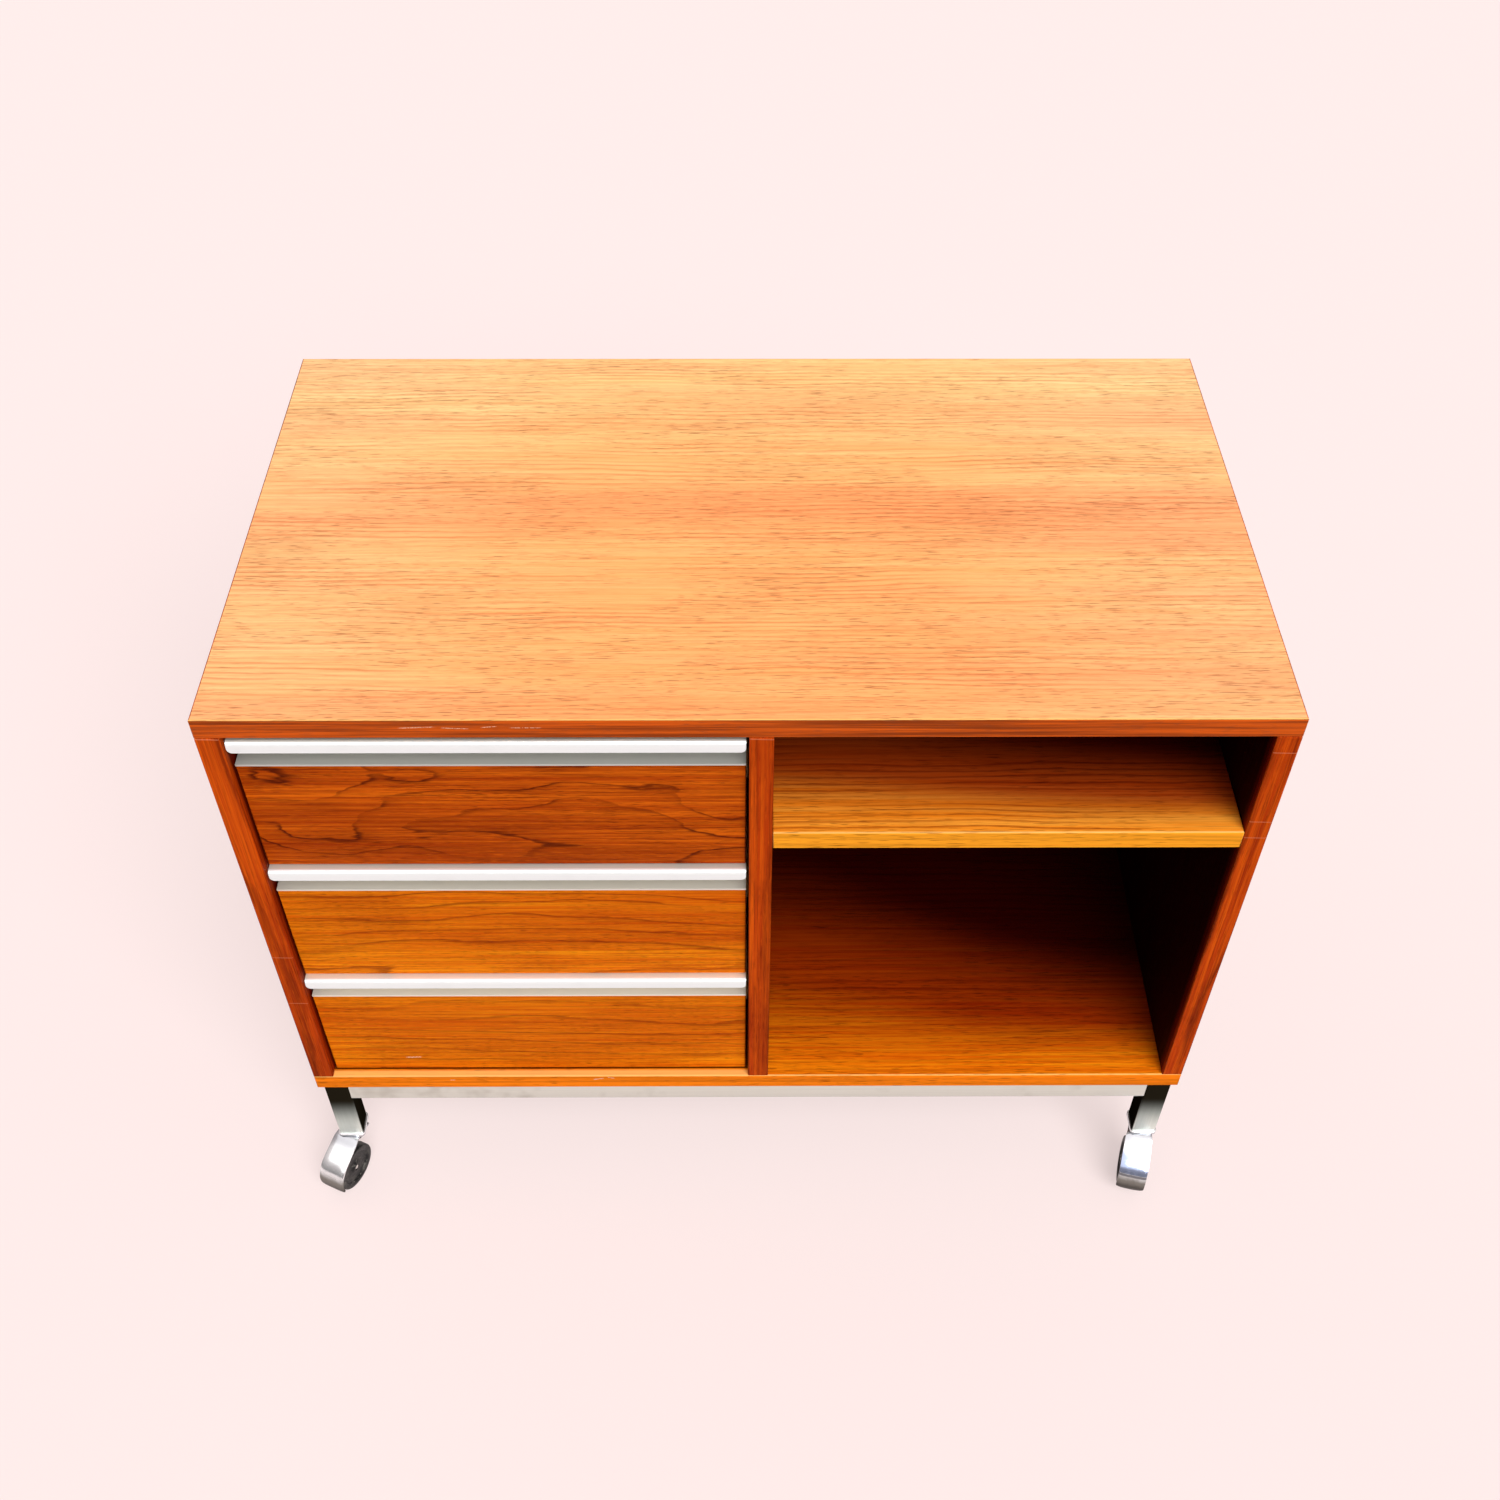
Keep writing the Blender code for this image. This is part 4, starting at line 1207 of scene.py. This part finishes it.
# %% Hoods
HOOD_SHEET = 0.002
HOOD_CLEAR = 0.0015
HOOD_BACK = 0.0095
HOOD_REACH = 0.014
HOOD_HALF = 0.0145
HOOD_NECK_HALF = 0.0122
HOOD_LAST = math.radians(-25)
HOOD_CORNER = 0.0065
HOOD_BEND = 0.016
HOOD_ARC_STEPS = 44
HOOD_WIDENS = (0.004, 0.024)    # outwards from the swivel
HOOD_CURL = 0.0007
WEB_HALF = 0.002
WEB_TUCK = 0.0002               # how far the web stays off the band's middle line
WEB_RING = 0.008
WEB_PART = slice(7, -5)         # the part of the line that the web follows
BOSS_RADIUS = 0.008
BOSS_CHAMFER = 0.0008
BOSS_BELOW_TOP = 0.0012
STEM_RADIUS = 0.004
STEM_CHAMFER = 0.001


def hood_line(trail, radius, top):
    """The hood's middle line as (outwards, up) points with outward normals.

    From the corner the tangent touches the circle at angle = a - acos(r / d), where a and
    d are the corner's angle and distance, seen from the axle, and r is the circle's radius.
    """
    centre = np.array([trail, radius])
    middle = radius + HOOD_CLEAR + HOOD_SHEET / 2
    corner = np.array([HOOD_REACH, top - HOOD_SHEET / 2])
    away = corner - centre
    touch = math.atan2(away[1], away[0]) - math.acos(middle / np.linalg.norm(away))
    arc, spoke = arc_points(centre, middle, touch, HOOD_LAST, HOOD_ARC_STEPS)
    start = np.array([-HOOD_BACK, corner[1]])
    points, normals = folded([start, corner, arc[0]], [HOOD_BEND], 10)
    return np.concatenate([points, arc[1:]]), np.concatenate([normals, spoke[1:]])


def hood_shell(line, normals):
    """The band as a grid: across it in rows, round its section in columns.

    At its lower end the corners are quarter circles: half = full - lip_edge(distance).
    """
    across = np.sin(np.linspace(-np.pi / 2, np.pi / 2, 15))
    narrow, wide = HOOD_WIDENS
    widen = np.clip((line[:, 0] - narrow) / (wide - narrow), 0, 1)
    half = HOOD_NECK_HALF + (HOOD_HALF - HOOD_NECK_HALF) * widen ** 2 * (3 - 2 * widen)
    left_over = np.cumsum(np.linalg.norm(np.diff(line[::-1], axis=0), axis=1))
    half -= lip_edge(np.concatenate([[0], left_over])[::-1], HOOD_CORNER)
    curl = HOOD_CURL * across ** 6
    loop = strip_loop(line, normals, HOOD_SHEET)
    inwards = np.concatenate([normals, normals[::-1]])
    halves = np.concatenate([half, half[::-1]])
    points = np.empty((len(across), len(loop), 3))
    points[..., 0] = across[:, None] * halves
    points[..., 1:] = loop - curl[:, None, None] * inwards
    faces = np.concatenate([grid_faces(*points.shape[:2]),
                            sheet_caps(len(across), len(loop))])
    return points, faces


def slab(outline, half):
    """A flat plate from an outline, `half` to each side."""
    outline = np.asarray(outline)
    count = len(outline)
    points = np.empty((2, count, 3))
    points[0, :, 0], points[1, :, 0] = -half, half
    points[..., 1:] = outline
    faces = grid_faces(2, count).tolist()
    return points, faces + [list(range(count)), list(range(count, 2 * count))]


def make_hood(corner):
    """Band, web, boss and stem over one pair of wheels."""
    node = "caster_%s_hood" % corner
    foot, hub, axis = caster_place(corner)
    stem_top = span(node)[1][2]
    radius = hub[2]
    trail = np.linalg.norm((hub - foot)[:2])
    top = span("leg_cap_" + corner)[0][2] - JOINT_GAP
    line, normals = hood_line(trail, radius, top)
    boss_low = radius + math.sqrt((radius + HOOD_CLEAR) ** 2 - (trail - BOSS_RADIUS) ** 2)

    under = line[WEB_PART] - normals[WEB_PART] * WEB_TUCK
    ring = arc_points((trail, radius), WEB_RING, HOOD_LAST + 0.1, -math.pi, 12)[0]
    web = np.concatenate([under, ring, [[BOSS_RADIUS * 0.6, boss_low + 0.001]]])
    shell = hood_shell(line, normals)
    plate = slab(web, WEB_HALF)
    up = (0, 0, 1)
    boss_top = top - BOSS_BELOW_TOP
    boss = turned([(boss_low, 0), (boss_low, BOSS_RADIUS - BOSS_CHAMFER),
                   (boss_low + BOSS_CHAMFER, BOSS_RADIUS), (boss_top, BOSS_RADIUS),
                   (boss_top, 0)], 32, foot, up)
    stem = turned([(top - 0.001, 0), (top - 0.001, STEM_RADIUS),
                   (stem_top - STEM_CHAMFER, STEM_RADIUS),
                   (stem_top, STEM_RADIUS - STEM_CHAMFER), (stem_top, 0)], 24, foot, up)
    parts = [(place_in(points, foot, axis), faces) for points, faces in (shell, plate)]
    return make_piece(node + "_band", parts + [boss, stem], "caster_" + corner, CHROME,
                      [node], sharp=45)


hoods = [make_hood(corner) for corner in CORNERS]
print("hood faces:", [len(hood.data.polygons) for hood in hoods])

# %% [markdown]
# ## Wheels and axles
#
# A wheel is turned from a profile: a rounded tread, a rim, a shallow dish with a bead where
# it meets the hub, and a bore.  The axle is a plain steel pin with domed ends, and its shine
# is the small bright dot in the middle of each dark wheel.

# %% Wheels and axles
WHEEL_WIDTH = 0.0104
TREAD_EDGE = 0.0015
RIM_DEPTH = 0.006
DISH_DEPTH = 0.002
AXLE_BORE = 0.0033
AXLE_RADIUS = 0.003
AXLE_DOME = 0.0011
WHEEL_GAP = 0.0006              # from the web to a wheel


def wheel_profile(radius):
    """(outwards along the axle, radius) round one wheel's section."""
    inner = arc_points((TREAD_EDGE, radius - TREAD_EDGE), TREAD_EDGE, np.pi, np.pi / 2, 6)[0]
    outer = arc_points((WHEEL_WIDTH - TREAD_EDGE, radius - TREAD_EDGE), TREAD_EDGE,
                       np.pi / 2, 0, 6)[0]
    rim, dish = radius - RIM_DEPTH, WHEEL_WIDTH - DISH_DEPTH
    face = [(WHEEL_WIDTH, rim + 0.0008), (WHEEL_WIDTH - 0.0004, rim), (dish, rim - 0.0016),
            (dish, rim - 0.0022), (dish + 0.0003, rim - 0.0032), (dish, rim - 0.0042),
            (dish, 0.0085), (dish + 0.0005, 0.0076), (WHEEL_WIDTH - 0.0003, 0.0062),
            (WHEEL_WIDTH, 0.0056), (WHEEL_WIDTH, AXLE_BORE)]
    return np.concatenate([[(0, AXLE_BORE)], inner, outer, face])


def make_wheel(corner, side):
    """One wheel of a pair, its dished face outwards."""
    node = "caster_%s_wheel_%s" % (corner, side)
    _foot, hub, axis = caster_place(corner)
    way = axis if side == "right" else -axis
    middle = np.mean(span(node), axis=0)
    points = turned(wheel_profile(hub[2]), 56, middle - way * WHEEL_WIDTH / 2, way)[0]
    faces = grid_faces(*points.shape[:2], close_rows=True)
    return make_piece(node + "_disc", [(points, faces)], "wheel_%s_%s" % (corner, side),
                      NYLON, [node], sharp=40)


def make_axle(corner):
    """A pin with domed ends through both wheels."""
    node = "caster_%s_axle" % corner
    _foot, hub, axis = caster_place(corner)
    half = WEB_HALF + WHEEL_GAP + WHEEL_WIDTH
    dome = np.linspace(0, np.pi / 2, 7)
    end = np.column_stack([half - AXLE_DOME * (1 - np.cos(dome)), AXLE_RADIUS * np.sin(dome)])
    profile = np.concatenate([end * [-1, 1], end[::-1]])
    return make_piece(node + "_pin", [turned(profile, 28, hub, axis)], "caster_" + corner,
                      TURNED, [node], sharp=50)


for corner in CORNERS:
    make_axle(corner)
    for side in ("left", "right"):
        make_wheel(corner, side)
rolling = [o for o in bpy.data.objects if o.name.endswith(("_disc", "_pin"))]
print("wheels and axles:", len(rolling))
